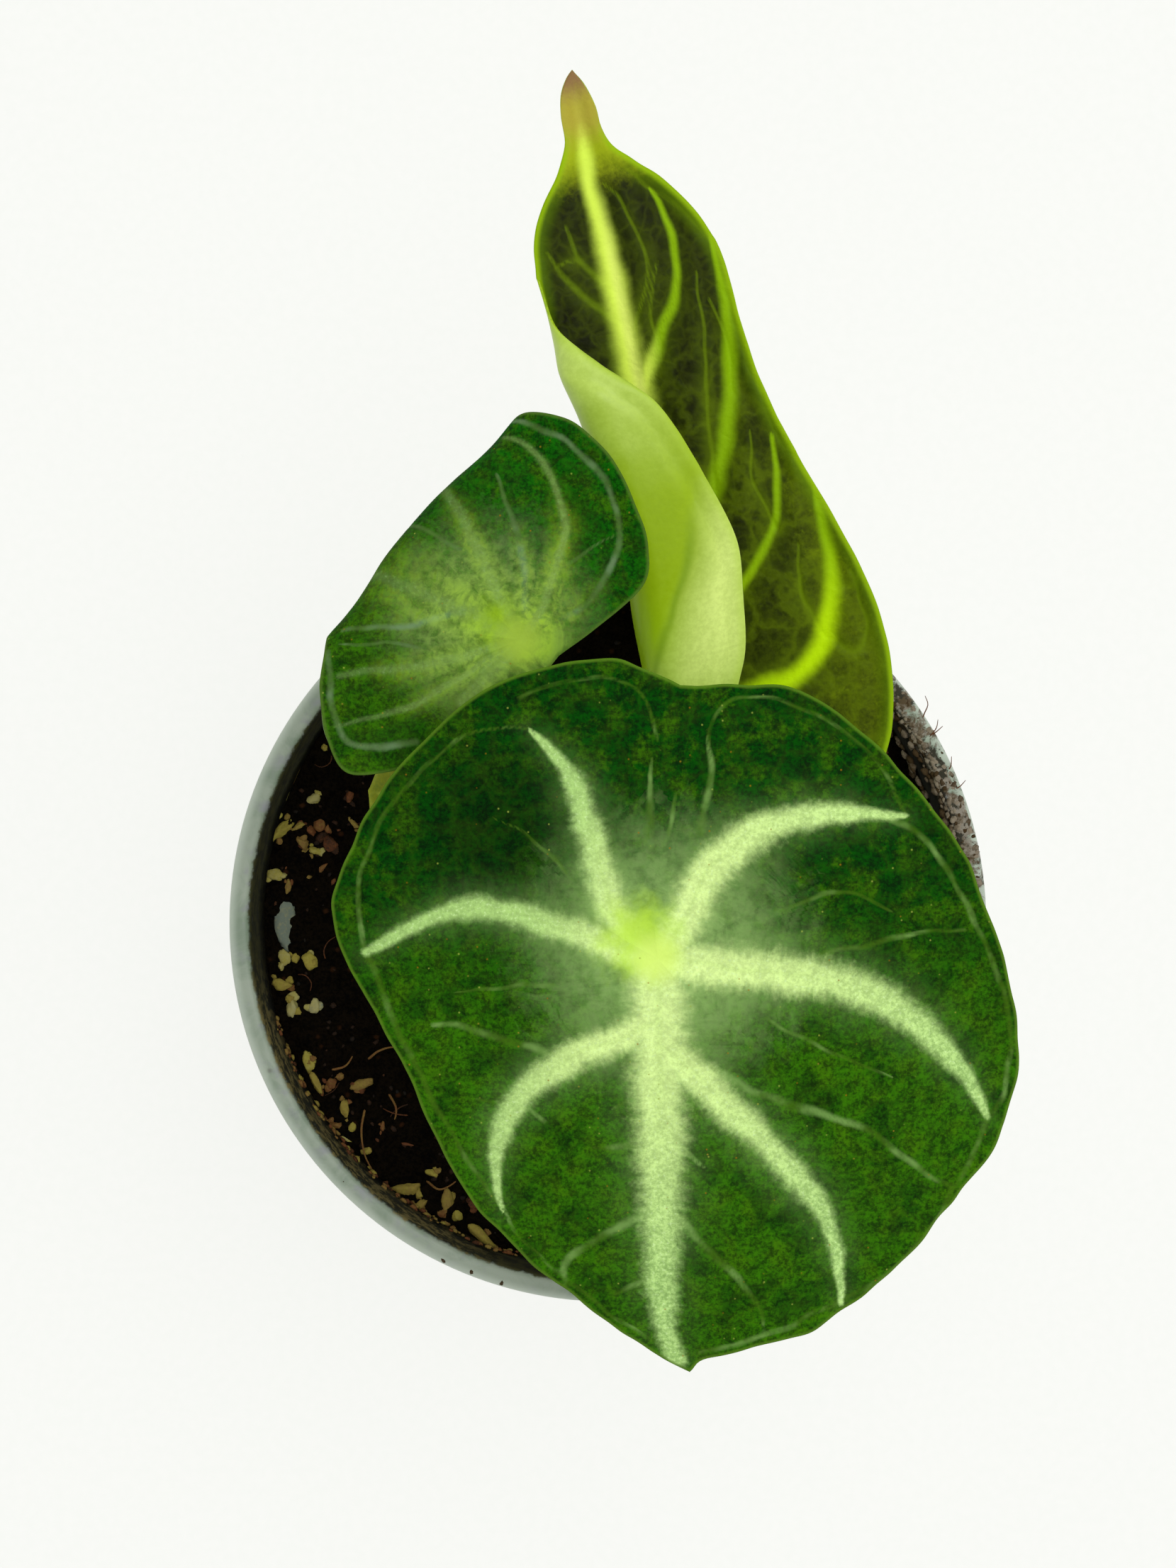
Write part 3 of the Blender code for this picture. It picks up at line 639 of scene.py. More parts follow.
def mature_flesh(tree, place, tones, grain, light_direction):
    """Flesh with painted light: darker at the back of the leaf, lighter and warmer along the given
    direction, and a painted shade patch round its own spot.
    """
    # Painted light: the flesh gets lighter and warmer along the given direction, broken up by noise
    # patches.
    lean = vector_math(tree, "DOT_PRODUCT", place, light_direction)
    patches = noise(tree, place, 0.13, 3.0, 0.6)
    raised = plus(tree, lean, times(tree, patches, 0.9))
    color = blend(tree, remap(tree, raised, -0.1, 1.05), tones["dark"], tones["light"])
    blotch = remap(tree, noise(tree, place, 0.42, 5.0, 0.66), 0.46, 0.62)
    color = blend(tree, times(tree, blotch, 0.55), color, tones["olive"])
    shadow = remap(tree, noise(tree, place, 0.30, 5.0, 0.64, 0.5), 0.48, 0.62)
    color = blend(tree, times(tree, shadow, 0.62), color, tones["deep"])
    # Painted shade: the flesh darkens round its own spot, at the back of the front leaf and on the
    # folded-down tip of the side leaf.
    off_shade_patch = vector_math(tree, "DISTANCE", place, tones["shade_patch_place"])
    off_shade_patch = plus(tree, off_shade_patch, times(tree, patches, 4.0))
    shade_patch = remap(tree, off_shade_patch, 4.0, 11.5, 0.85, 0.0)
    color = blend(tree, shade_patch, color, tones["shade_patch"])
    return shaded(tree, color, grain, 0.38, 0.62, 0.42, 1.66)


def mist_over(tree, color, place, fibres, tones):
    """Grey-green mist round its own spot near the hub, and haze beside the veins."""
    combed = remap(tree, fibres, 0.30, 0.66, tones["evenness"], 1.0)
    mottle = remap(tree, noise(tree, place, 0.5, 4.0, 0.65), 0.34, 0.60, tones["evenness"], 1.0)
    uneven = times(tree, combed, mottle)
    off_mist = vector_math(tree, "DISTANCE", place, tones["mist_place"])
    off_mist = calc(tree, "DIVIDE", off_mist, tones["mist_size"])
    fringe = times(tree, calc(tree, "SUBTRACT", fibres, 0.5), 1.3)
    ragged = plus(tree, off_mist, fringe)
    mist = times(tree, remap(tree, ragged, 0.50, 1.65, 1.0, 0.0), uneven)
    color = blend(tree, mist, color, tones["mist"])
    haze = times(tree, painted(tree, "vein_shade"), uneven)
    haze = times(tree, haze, tones["haze_share"], clamp=True)
    return blend(tree, haze, color, tones["haze"])


def thin_over(tree, color, place, tones):
    """Thin veins: faint and olive for most of their way, mint in short stretches."""
    thin = feathered(tree, place, "thin", 0.85, 0.7)
    strong = times(tree, painted(tree, "thin_power"), 0.42)
    minty = plus(tree, noise(tree, place, 0.26, 3.0, 0.55), strong)
    minty = remap(tree, minty, 0.50, 0.80)
    line_color = blend(tree, minty, tones["thin_faint"], tones["thin"])
    amount = times(tree, thin["Mask"], remap(tree, minty, 0.0, 1.0, 0.62, 0.85))
    return blend(tree, times(tree, amount, tones["thin_share"]), color, line_color, "LIGHTEN")


def mature_face(name, tones, light_direction, core):
    """Upper face of a mature blade.

    tones holds its colours by name, the next argument is the direction in which
    painted light makes the flesh lighter, and core is how strongly the main veins are painted.
    """
    paint, tree, shader = new_material(name, 0.75, 0.05)
    place = plan_place(tree)
    reach = painted(tree, "vein_reach")
    hub = painted(tree, "hub_gap")
    grain = use_group(tree, grain_group, {"Place": place, "Fine": 3.0, "Coarse": 0.9})
    color = mature_flesh(tree, place, tones, grain["Grain"], light_direction)

    net = use_group(tree, net_group, {"Place": place, "Cells": 0.36, "Width": 0.16, "Bend": 1.6})
    faint = times(tree, net["Mask"], noise(tree, place, 0.3, 2.0))
    color = blend(tree, times(tree, faint, 0.22), color, tones["net"])

    vein = feathered(tree, place, "vein", tones["softness"], 0.95)
    color = mist_over(tree, color, place, vein["Fibres"], tones)
    color = thin_over(tree, color, place, tones)

    vein_grain = remap(tree, grain["Grain"], 0.40, 0.60)
    vein_color = blend(tree, vein_grain, tones["vein_shade"], tones["vein"])
    bright = remap(tree, hub, 3.0, 30.0, 0.9, 0.0)
    vein_color = blend(tree, bright, vein_color, tones["vein_bright"])
    back_left = vector_math(tree, "DOT_PRODUCT", place, (-1.0, 0.35, 0.0))
    in_shade = remap(tree, back_left, 2.0, 12.0, 0.0, 0.75)
    vein_color = blend(tree, in_shade, vein_color, tones["vein_shade"])
    # Painted glints: scattered bright specks on the veins.
    vein_glint = remap(tree, noise(tree, place, 3.6, 3.0, 0.6), 0.54, 0.70, 0.0, 0.55)
    vein_color = blend(tree, vein_glint, vein_color, tones["vein_glint"])
    groove = remap(tree, reach, 0.02, 0.24, 1.0, 0.0)
    groove = times(tree, groove, remap(tree, hub, 5.0, 20.0, 0.18, 0.0))
    vein_color = blend(tree, groove, vein_color, tones["groove"])
    vein_color = shaded(tree, vein_color, grain["Grain"], 0.35, 0.65, 0.84, 1.15)
    amount = times(tree, vein["Mask"], remap(tree, reach, 0.4, 1.3, 1.0, 0.62))
    color = blend(tree, times(tree, amount, core), color, vein_color)
    off_hub = vector_math(tree, "DISTANCE", place, tones["hub_place"])
    uneven_hub = plus(tree, off_hub, times(tree, noise(tree, place, 0.6, 4.0), 4.6))
    hub_mask = remap(tree, uneven_hub, tones["hub_size"], tones["hub_size"] + 4.0, 0.85, 0.0)
    color = blend(tree, hub_mask, color, tones["hub"])
    uneven_heart = plus(tree, hub, times(tree, grain["Grain"], 1.6))
    heart = remap(tree, uneven_heart, 1.4, 3.6, 0.85, 0.0)
    color = blend(tree, heart, color, tones["heart"])

    specks = use_group(tree, speck_group, {"Place": place, "Cells": 1.25, "Size": 0.15, "Share": 0.3})
    nectar_or_dust = remap(tree, specks["Chance"], 0.1, 0.2)
    speck_color = blend(tree, nectar_or_dust, (0.30, 0.15, 0.006), (0.32, 0.40, 0.06))
    color = blend(tree, times(tree, specks["Mask"], 0.85), color, speck_color)
    margin = remap(tree, painted(tree, "edge_gap"), 0.05, 0.36, 1.0, 0.0)
    color = blend(tree, times(tree, margin, 0.75), color, tones["margin"])
    rough = remap(tree, grain["Grain"], 0.3, 0.7, 0.66, 0.86)
    raised = plus(tree, grain["Height"], times(tree, net["Cell"], 0.8))
    finish_look(tree, shader, color, rough, raised, 0.5, 0.12)
    return paint


# Flesh tones: from dark to light is painted light, and one tone, with its own place, darkens a patch as
# painted shade.
FRONT_TONES = {
    "dark": (0.0008, 0.040, 0.0004), "light": (0.021, 0.100, 0.0005),
    "olive": (0.038, 0.110, 0.0005), "deep": (0.0006, 0.026, 0.0005),
    "shade_patch": (0.0005, 0.019, 0.0004), "shade_patch_place": (-13.0, 10.5, 0.0),
    "net": (0.05, 0.135, 0.003),
    "haze": (0.20, 0.36, 0.09), "haze_share": 0.9, "evenness": 0.55,
    "mist": (0.26, 0.43, 0.125), "mist_place": (0.5, 0.6, 0.0), "mist_size": 8.2,
    "thin": (0.19, 0.35, 0.085), "thin_faint": (0.060, 0.145, 0.006), "thin_share": 0.95,
    "vein": (0.49, 0.74, 0.24), "vein_shade": (0.34, 0.57, 0.16), "vein_glint": (0.66, 0.88, 0.42),
    "vein_bright": (0.71, 0.92, 0.33), "groove": (0.36, 0.56, 0.11), "softness": 0.58,
    "hub": (0.50, 0.80, 0.05), "hub_place": (-1.6, 1.8, 0.0), "hub_size": 2.8,
    "heart": (0.70, 0.94, 0.18), "margin": (0.12, 0.25, 0.015),
}
SIDE_TONES = {
    "dark": (0.003, 0.072, 0.0005), "light": (0.021, 0.090, 0.0006),
    "olive": (0.040, 0.105, 0.0008), "deep": (0.002, 0.045, 0.0006),
    "shade_patch": (0.002, 0.055, 0.001), "shade_patch_place": (-11.5, 15.0, 0.0),
    "net": (0.05, 0.12, 0.006),
    "haze": (0.40, 0.66, 0.032), "haze_share": 0.95, "evenness": 0.36,
    "mist": (0.175, 0.275, 0.090), "mist_place": (-2.4, 1.6, 0.0), "mist_size": 6.6,
    "thin": (0.155, 0.26, 0.12), "thin_faint": (0.085, 0.165, 0.035), "thin_share": 1.0,
    "vein": (0.12, 0.22, 0.07), "vein_shade": (0.08, 0.16, 0.04), "vein_glint": (0.26, 0.38, 0.16),
    "vein_bright": (0.25, 0.40, 0.085), "groove": (0.12, 0.24, 0.03), "softness": 0.85,
    "hub": (0.29, 0.49, 0.003), "hub_place": (-2.0, 1.5, 0.0), "hub_size": 1.2,
    "heart": (0.36, 0.53, 0.05), "margin": (0.09, 0.175, 0.022),
}
# The third argument gives the direction in which the painted light brightens the flesh.
front_face = mature_face("front velvet face", FRONT_TONES, (0.0, -0.062, 0.0), 0.97)
side_face = mature_face("side velvet face", SIDE_TONES, (-0.05, -0.03, 0.0), 0.6)

# %% [markdown]
# The lower face is pale, smooth and a little shiny, with ribs that stand out. The
# blade's edge is a thin light line: it gets a plain material of its own through
# Solidify's rim slot, with the same grain.

# %% Materials of the lower face and the edge


def lower_face(name, flesh, shade, rib_color, gloss):
    """Lower face of a blade. The old leaf's faded upper face is painted with it too."""
    paint, tree, shader = new_material(name, gloss, 0.35)
    place = plan_place(tree)
    reach = painted(tree, "vein_reach")
    thin = painted(tree, "thin_reach")
    grain = use_group(tree, grain_group, {"Place": place, "Fine": 4.0, "Coarse": 0.7})
    color = blend(tree, remap(tree, grain["Grain"], 0.35, 0.65), shade, flesh)
    net = use_group(tree, net_group, {"Place": place, "Cells": 0.6, "Width": 0.12, "Bend": 0.9})
    color = blend(tree, times(tree, net["Mask"], 0.3), color, rib_color)
    rib = remap(tree, reach, 0.3, 1.3, 1.0, 0.0)
    small_rib = remap(tree, thin, 0.5, 1.6, 0.7, 0.0)
    color = blend(tree, calc(tree, "MAXIMUM", rib, small_rib), color, rib_color)
    rough = remap(tree, grain["Grain"], 0.3, 0.7, gloss - 0.06, gloss + 0.12)
    finish_look(tree, shader, color, rough, grain["Height"], 0.35, 0.08)
    return paint


def edge_face(name, light, dark):
    """Thin edge of a blade."""
    paint, tree, shader = new_material(name, 0.6, 0.2)
    grain = use_group(tree, grain_group, {"Place": plan_place(tree), "Fine": 2.0, "Coarse": 0.4})
    color = blend(tree, remap(tree, grain["Grain"], 0.4, 0.6), dark, light)
    tree.links.new(color, shader.inputs["Base Color"])
    return paint


mature_lower = lower_face(
    "mature lower face", (0.17, 0.29, 0.09), (0.10, 0.20, 0.05), (0.33, 0.46, 0.17), 0.42)
mature_edge = edge_face("mature edge", (0.16, 0.28, 0.03), (0.06, 0.15, 0.01))

# %% [markdown]
# The front leaf is the one that everyone sees: almost round, nearly as wide as
# the pot is tall, with its stalk joined well inside the edge. It tilts down to
# the tip and its margin waves. Seven broad veins run out from the hub and the
# midrib, and thinner ones join them near the margin.

# %% Front blade
FRONT_LEFT = [
    (3.0, -35.5), (0.3, -34.0), (-4.7, -30.4), (-12.6, -23.3), (-16.6, -17.7),
    (-20.6, -8.4), (-24.8, -0.9), (-26.0, 3.0), (-25.5, 6.3), (-21.5, 14.1),
    (-13.9, 21.2), (-5.2, 23.7), (-1.4, 23.0), (1.7, 21.5),
]
FRONT_RIGHT = [
    (1.7, 21.5), (6.7, 21.7), (10.6, 21.4), (16.2, 18.0), (23.9, 9.4),
    (25.9, 4.7), (28.0, -0.5), (29.8, -9.0), (28.0, -16.2), (25.0, -20.0),
    (22.2, -24.0), (18.5, -28.1), (13.1, -31.7), (4.9, -33.9), (3.0, -35.5),
]
FRONT_MAIN = [
    ([(0, 0), (0.1, -2.7), (0.3, -14.4), (0.5, -26.8), (0.7, -31.3), (1.9, -34.6)], 2.05, 0.7),
    ([(0, 0), (2.3, 3.2), (4.3, 7.6), (8.6, 10.6), (14.6, 11.7), (19.9, 11.2)], 1.55, 0.2),
    ([(0, 0), (6.0, -0.8), (12.4, -1.4), (18.9, -3.7), (24.7, -8.9), (27.4, -13.7)], 1.6, 0.28),
    ([(0.3, -6.8), (4.5, -10.9), (9.4, -15.8), (13.8, -21.3), (15.7, -26.9), (15.5, -29.6)], 1.25, 0.25),
    ([(0, 0), (-3.6, 3.5), (-5.2, 9.6), (-7.2, 15.5), (-10.3, 18.3)], 1.35, 0.15),
    ([(0, 0), (-5.2, 1.6), (-11.5, 3.8), (-17.1, 3.9), (-23.4, 0.3)], 1.15, 0.3),
    ([(0.3, -5.0), (-5.2, -7.3), (-10.4, -10.3), (-13.2, -15.6), (-12.7, -21.5)], 1.25, 0.15),
]
FRONT_THIN = [
    ([(0.6, -19.9), (4.3, -24.3), (8.5, -28.4), (9.0, -31.1)], 0.30, 0.14),
    ([(0.3, -20.5), (-3.9, -22.9), (-7.9, -25.7), (-7.3, -27.8)], 0.32, 0.18),
    ([(1.3, -7.9), (5.7, -9.8), (11.9, -12.4), (17.0, -13.8), (20.4, -17.0), (24.6, -19.2)], 0.32, 0.18),
    ([(-7.2, -8.2), (-9.6, -7.3), (-15.2, -5.6), (-18.0, -5.3)], 0.30, 0.14),
    ([(0.2, -15.2), (-1.7, -15.3), (-5.2, -15.5)], 0.30, 0.09),
    ([(0.5, -14.4), (2.1, -15.7), (4.0, -17.2)], 0.30, 0.09),
    ([(0.3, -26.8), (-1.5, -27.4), (-3.5, -28.6)], 0.25, 0.1),
    ([(0.4, -11.0), (-2.2, -11.3), (-3.6, -12.2)], 0.25, 0.1),
    ([(0.5, -10.4), (2.4, -11.6), (3.2, -13.2)], 0.25, 0.1),
    ([(-0.6, 3.5), (-1.0, 6.8), (-0.7, 11.6), (-0.4, 16.0)], 0.34, 0.09),
    ([(0.0, 4.1), (0.4, 8.4), (1.3, 13.1)], 0.24, 0.07),
    ([(1.2, 3.8), (2.6, 7.8), (4.1, 14.3), (3.9, 18.0)], 0.38, 0.09),
    ([(3.2, 1.3), (8.5, 3.5), (14.7, 5.6), (18.5, 3.8)], 0.18, 0.1),
    ([(9.7, 0.1), (14.8, 0.6), (19.6, 1.9), (24.5, 2.3)], 0.18, 0.14),
    ([(-2.7, -1.3), (-7.2, -1.9), (-16.3, -2.8)], 0.2, 0.06),
    ([(-3.8, 3.5), (-10.0, 9.7), (-13.4, 11.4)], 0.15, 0.06),
    ([(8.5, -5.0), (13.5, -7.3), (19.0, -10.0)], 0.14, 0.08),
    ([(-9.0, -13.4), (-11.0, -12.0), (-14.6, -11.6)], 0.14, 0.08),
    ([(14.7, 11.7), (19.9, 11.0), (23.2, 7.1), (26.1, 1.1), (29.0, -5.4), (28.7, -11.7)], 0.2, 0.2),
    ([(28.7, -11.7), (26.0, -16.4), (23.6, -22.4), (18.8, -27.8), (9.0, -32.0), (1.9, -34.1)], 0.22, 0.16),
    ([(1.6, -34.1), (-7.4, -27.5), (-15.1, -17.7), (-21.8, -3.5), (-23.4, 0.4)], 0.13, 0.26),
    ([(-23.4, 0.4), (-24.3, 5.0), (-21.1, 12.5), (-15.0, 18.1), (-10.3, 18.3)], 0.16, 0.12),
    ([(-11.0, 20.6), (-5.5, 22.4), (-1.2, 21.2), (0.0, 17.5)], 0.13, 0.12),
    ([(4.0, 16.0), (4.5, 20.6), (10.7, 20.3), (17.5, 15.6), (19.9, 11.2)], 0.12, 0.12),
]
FRONT_TILT = 0.20
FRONT_DROOP = 0.0055
FRONT_REACH = 30.0


def front_shape(flat):
    """Tilted to the tip, drooping at the edge, with long and short waves."""
    x, y = flat[:, 0], flat[:, 1]
    reach = np.hypot(x, y)
    turn = np.arctan2(y, x)
    edge = (reach / FRONT_REACH) ** 3
    waves = 0.8 * np.sin(4.0 * turn + 0.6) + 0.45 * np.sin(9.0 * turn + 1.0)
    height = FRONT_TILT * y - FRONT_DROOP * reach ** 2 + edge * waves
    return np.stack([x, y, height], axis=1)


front_blade = make_blade(
    "front_leaf_blade", "front_blade", (FRONT_LEFT, FRONT_RIGHT),
    (FRONT_MAIN, FRONT_THIN, FRONT_MAIN), front_shape, (520, 84, 0.25, 3.0),
    (front_face, mature_lower, mature_edge))

# %% [markdown]
# The side leaf is the smaller of the two dark ones. Its tip has folded down over
# a crease that bulges a little, so from above the leaf ends in a nearly straight
# edge. A bend function does that: past the crease the flat sheet is wound round a
# small cylinder and then hangs.

# %% Side blade
SIDE_LEFT = [
    (-25.6, 11.4), (-23.5, 8.5), (-18.6, 3.5), (-16.1, 0.3), (-16.0, -4.0),
    (-15.5, -8.0), (-13.2, -11.0), (-5.4, -9.1), (0.2, -4.9), (3.2, -1.3),
]
SIDE_RIGHT = [
    (3.2, -1.3), (6.2, 0.9), (10.0, 4.3), (10.5, 7.3), (9.5, 10.7), (7.3, 14.9),
    (4.0, 17.7), (0.0, 18.6), (-6.0, 18.5), (-13.0, 17.5), (-20.0, 14.5),
    (-25.6, 11.4),
]
SIDE_MAIN = [
    ([(0, 0), (-4.6, 2.5), (-8.9, 4.2), (-11.9, 5.4), (-24.0, 10.9)], 0.6, 0.3),
    ([(0, 0), (-1.9, 4.2), (-2.8, 6.4), (-4.8, 10.0), (-6.2, 12.2), (-9.0, 16.5)], 0.5, 0.3),
    ([(0, 0), (1.9, 2.5), (3.5, 7.7), (3.3, 12.0), (1.0, 15.6), (-1.8, 16.8)], 0.36, 0.2),
    ([(0, 0), (-3.1, -0.7), (-7.8, -2.2), (-14.8, -2.9)], 0.42, 0.22),
    ([(0, 0), (-3.5, -2.2), (-8.9, -5.5), (-15.2, -7.0)], 0.34, 0.12),
    ([(0, 0), (-0.7, -0.9), (-2.8, -3.1), (-4.8, -5.0)], 0.8, 0.4),
]
SIDE_THIN = [
    ([(0.2, 0.4), (0.6, 2.5), (-0.1, 8.6), (-1.9, 13.4)], 0.3, 0.12),
    ([(1.5, 0.5), (5.9, 3.2), (8.4, 9.0), (5.4, 15.0), (2.1, 16.7), (-1.0, 18.4)], 0.24, 0.2),
    ([(-15.5, -1.0), (-15.2, -6.5), (-13.4, -9.0), (-8.4, -8.2)], 0.22, 0.2),
    ([(-2.4, 6.0), (-6.0, 8.0), (-11.0, 10.5)], 0.16, 0.1),
    ([(-4.6, 2.5), (-8.0, 1.2), (-14.5, 0.8)], 0.24, 0.14),
    ([(3.0, 5.4), (5.4, 7.4), (7.6, 8.4)], 0.14, 0.08),
    ([(-5.4, -1.4), (-9.0, -0.4), (-14.6, -0.4)], 0.14, 0.08),
]
SIDE_PALE = [
    ([(0, 0), (-4.6, 2.5), (-8.9, 4.2), (-12.4, 5.8)], 2.3, 0.8),
    ([(0, 0), (-1.9, 4.2), (-4.8, 10.0), (-6.2, 12.2)], 0.6, 0.1),
    ([(0, 0), (0.6, 2.5), (-0.1, 8.6)], 0.6, 0.1),
    ([(0, 0), (1.9, 2.5), (3.5, 7.7), (3.3, 12.0)], 0.7, 0.15),
    ([(0, 0), (3.6, 1.6), (6.6, 4.4)], 0.4, 0.1),
    ([(0, 0), (-3.1, -0.7), (-7.8, -2.2), (-12.0, -2.7)], 0.8, 0.1),
    ([(0, 0), (-3.5, -2.2), (-8.9, -5.5)], 0.6, 0.1),
    ([(0, 0), (-2.8, -3.1), (-5.2, -5.3)], 1.2, 0.6),
]
FOLD_NORMAL = np.array((-0.761, 0.649))
FOLD_START = 9.6
FOLD_RADIUS = 2.5
FOLD_ANGLE = math.radians(98.0)
FOLD_ALONG = np.array((0.649, 0.761))
FOLD_BULGE = 0.8
BULGE_MIDDLE = 1.5
BULGE_HALF = 6.5
SIDE_CUP = 0.004
SIDE_LEAN = 0.05


def side_shape(flat):
    """Slightly cupped, then bent down past a crease that bulges in its middle."""
    bulge = FOLD_BULGE * np.exp(-((flat @ FOLD_ALONG - BULGE_MIDDLE) / BULGE_HALF) ** 4)
    past = flat @ FOLD_NORMAL - FOLD_START - bulge
    arc = np.clip(past / FOLD_RADIUS, 0.0, FOLD_ANGLE)
    hang = np.maximum(past - FOLD_RADIUS * FOLD_ANGLE, 0.0)
    forward = FOLD_RADIUS * np.sin(arc) + hang * math.cos(FOLD_ANGLE)
    drop = FOLD_RADIUS * (1.0 - np.cos(arc)) + hang * math.sin(FOLD_ANGLE)
    shift = np.where(past > 0.0, forward - past, 0.0)
    bent = flat + shift[:, None] * FOLD_NORMAL
    reach = np.hypot(bent[:, 0], bent[:, 1])
    height = SIDE_CUP * reach ** 2 - SIDE_LEAN * bent[:, 0] - drop
    return np.stack([bent[:, 0], bent[:, 1], height], axis=1)


side_blade = make_blade(
    "side_leaf_blade", "side_blade", (SIDE_LEFT, SIDE_RIGHT),
    (SIDE_MAIN, SIDE_THIN, SIDE_PALE), side_shape, (400, 78, 0.2, 8.0),
    (side_face, mature_lower, mature_edge))

# %% [markdown]
# The new leaf is still half rolled up. Its colours are young: lime ribs over an
# olive-brown face, yellow-green margins, and a mauve tip. The lower face, which
# shows on the outside of the roll, is pale and shines; a sheen beside its crease
# is painted into its colour, and so is shade on the roll's curved side. Net and
# veins stand out more than on the old leaves.

# %% Materials of the new blade
CREASE_LEAN = (-1.0, -0.46, 0.0)
CREASE_PLACE = 5.51
SMOKE = (0.009, 0.011, 0.0005)
OLIVE_GLOW = (0.150, 0.245, 0.0006)


def young_flesh(tree, place, parts, grain):
    """Olive-brown flesh with dark smoky streaks, lighter to the base and the right."""
    patches = remap(tree, noise(tree, place, 0.14, 3.0, 0.6), 0.35, 0.65)
    color = blend(tree, patches, (0.026, 0.040, 0.0004), (0.050, 0.074, 0.0004))
    low = remap(tree, parts["Y"], -8.0, 18.0, 1.0, 0.0)
    color = blend(tree, times(tree, low, 0.75), color, (0.072, 0.110, 0.0004))
    right = remap(tree, parts["X"], 8.5, 13.0)
    color = blend(tree, times(tree, right, 0.75), color, (0.155, 0.225, 0.0004))
    smoke = noise(tree, place, 0.42, 5.0, 0.66, 0.5)
    smoke = plus(tree, smoke, remap(tree, parts["Y"], 14.0, 40.0, 0.0, 0.16))
    high = remap(tree, parts["Y"], 6.0, 30.0, 0.52, 0.98)
    dark = times(tree, remap(tree, smoke, 0.32, 0.52), high)
    color = blend(tree, dark, color, SMOKE)
    return shaded(tree, color, grain, 0.35, 0.65, 0.62, 1.36)


def young_net(tree, color, place):
    """Two nets of fine veins, a wide soft one and a small faint one."""
    wide = use_group(tree, net_group, {"Place": place, "Cells": 0.30, "Width": 0.24, "Bend": 1.8})
    small = use_group(tree, net_group, {"Place": place, "Cells": 0.8, "Width": 0.2, "Bend": 0.9})
    soft = calc(tree, "POWER", wide["Mask"], 2.2)
    near_base = add_node(tree, "ShaderNodeSeparateXYZ", {"Vector": place}).outputs["Y"]
    amount = times(tree, soft, remap(tree, near_base, 16.0, 36.0, 0.48, 0.07))
    color = blend(tree, amount, color, (0.120, 0.185, 0.0006))
    color = blend(tree, times(tree, small["Mask"], 0.12), color, (0.12, 0.17, 0.0006))
    return color, small["Cell"]


def young_face(name):
    """Upper face of the new blade."""
    paint, tree, shader = new_material(name, 0.6, 0.08)
    place = plan_place(tree)
    edge = painted(tree, "edge_gap")
    parts = add_node(tree, "ShaderNodeSeparateXYZ", {"Vector": place}).outputs
    grain = use_group(tree, grain_group, {"Place": place, "Fine": 2.4, "Coarse": 0.8})
    color = young_flesh(tree, place, parts, grain["Grain"])
    color, cells = young_net(tree, color, place)
    glow_share = remap(tree, parts["Y"], 22.0, 40.0, 0.50, 0.30)
    glow = times(tree, painted(tree, "vein_shade"), glow_share)
    color = blend(tree, glow, color, OLIVE_GLOW)
    thin = feathered(tree, place, "thin", 0.95, 0.5)
    color = blend(tree, times(tree, thin["Mask"], 0.55), color, OLIVE_GLOW)

    wide_margin = remap(tree, edge, 0.2, 1.7, 0.7, 0.0)
    color = blend(tree, wide_margin, color, (0.10, 0.19, 0.0006))
    uneven_y = plus(tree, parts["Y"], times(tree, grain["Grain"], 3.0))
    near_tip = remap(tree, uneven_y, 44.5, 48.5, 0.0, 0.9)
    color = blend(tree, near_tip, color, (0.40, 0.50, 0.010))
    vein = feathered(tree, place, "vein", 0.95, 0.3)
    middle = remap(tree, calc(tree, "ABSOLUTE", parts["X"]), 0.6, 2.8, 1.0, 0.0)
    lower = remap(tree, parts["Y"], 2.0, 14.0, 1.0, 0.0)
    side_vein = blend(tree, lower, (0.26, 0.47, 0.0007), (0.58, 0.91, 0.0009))
    vein_color = blend(tree, middle, side_vein, (0.72, 0.95, 0.09))
    color = blend(tree, times(tree, vein["Mask"], 0.95), color, vein_color)
    beam = remap(tree, calc(tree, "ABSOLUTE", parts["X"]), 0.0, 0.8, 0.6, 0.0)
    beam = times(tree, beam, remap(tree, parts["Y"], 44.0, 36.0))
    color = blend(tree, beam, color, (0.86, 1.0, 0.20))
    margin = remap(tree, edge, 0.12, 0.62, 1.0, 0.0)
    color = blend(tree, times(tree, margin, 0.85), color, (0.30, 0.50, 0.0015))
    apex_place = plus(tree, parts["Y"], times(tree, grain["Grain"], 2.0))
    cone = remap(tree, apex_place, 47.5, 50.5, 0.0, 0.9)
    color = blend(tree, cone, color, (0.44, 0.37, 0.045))
    apex = remap(tree, apex_place, 51.2, 53.6, 0.0, 0.85)
    color = blend(tree, apex, color, (0.26, 0.13, 0.07))
    rough = remap(tree, grain["Grain"], 0.3, 0.7, 0.5, 0.68)
    raised = plus(tree, grain["Height"], times(tree, cells, 1.4))
    finish_look(tree, shader, color, rough, raised, 0.5, 0.12)
    return paint


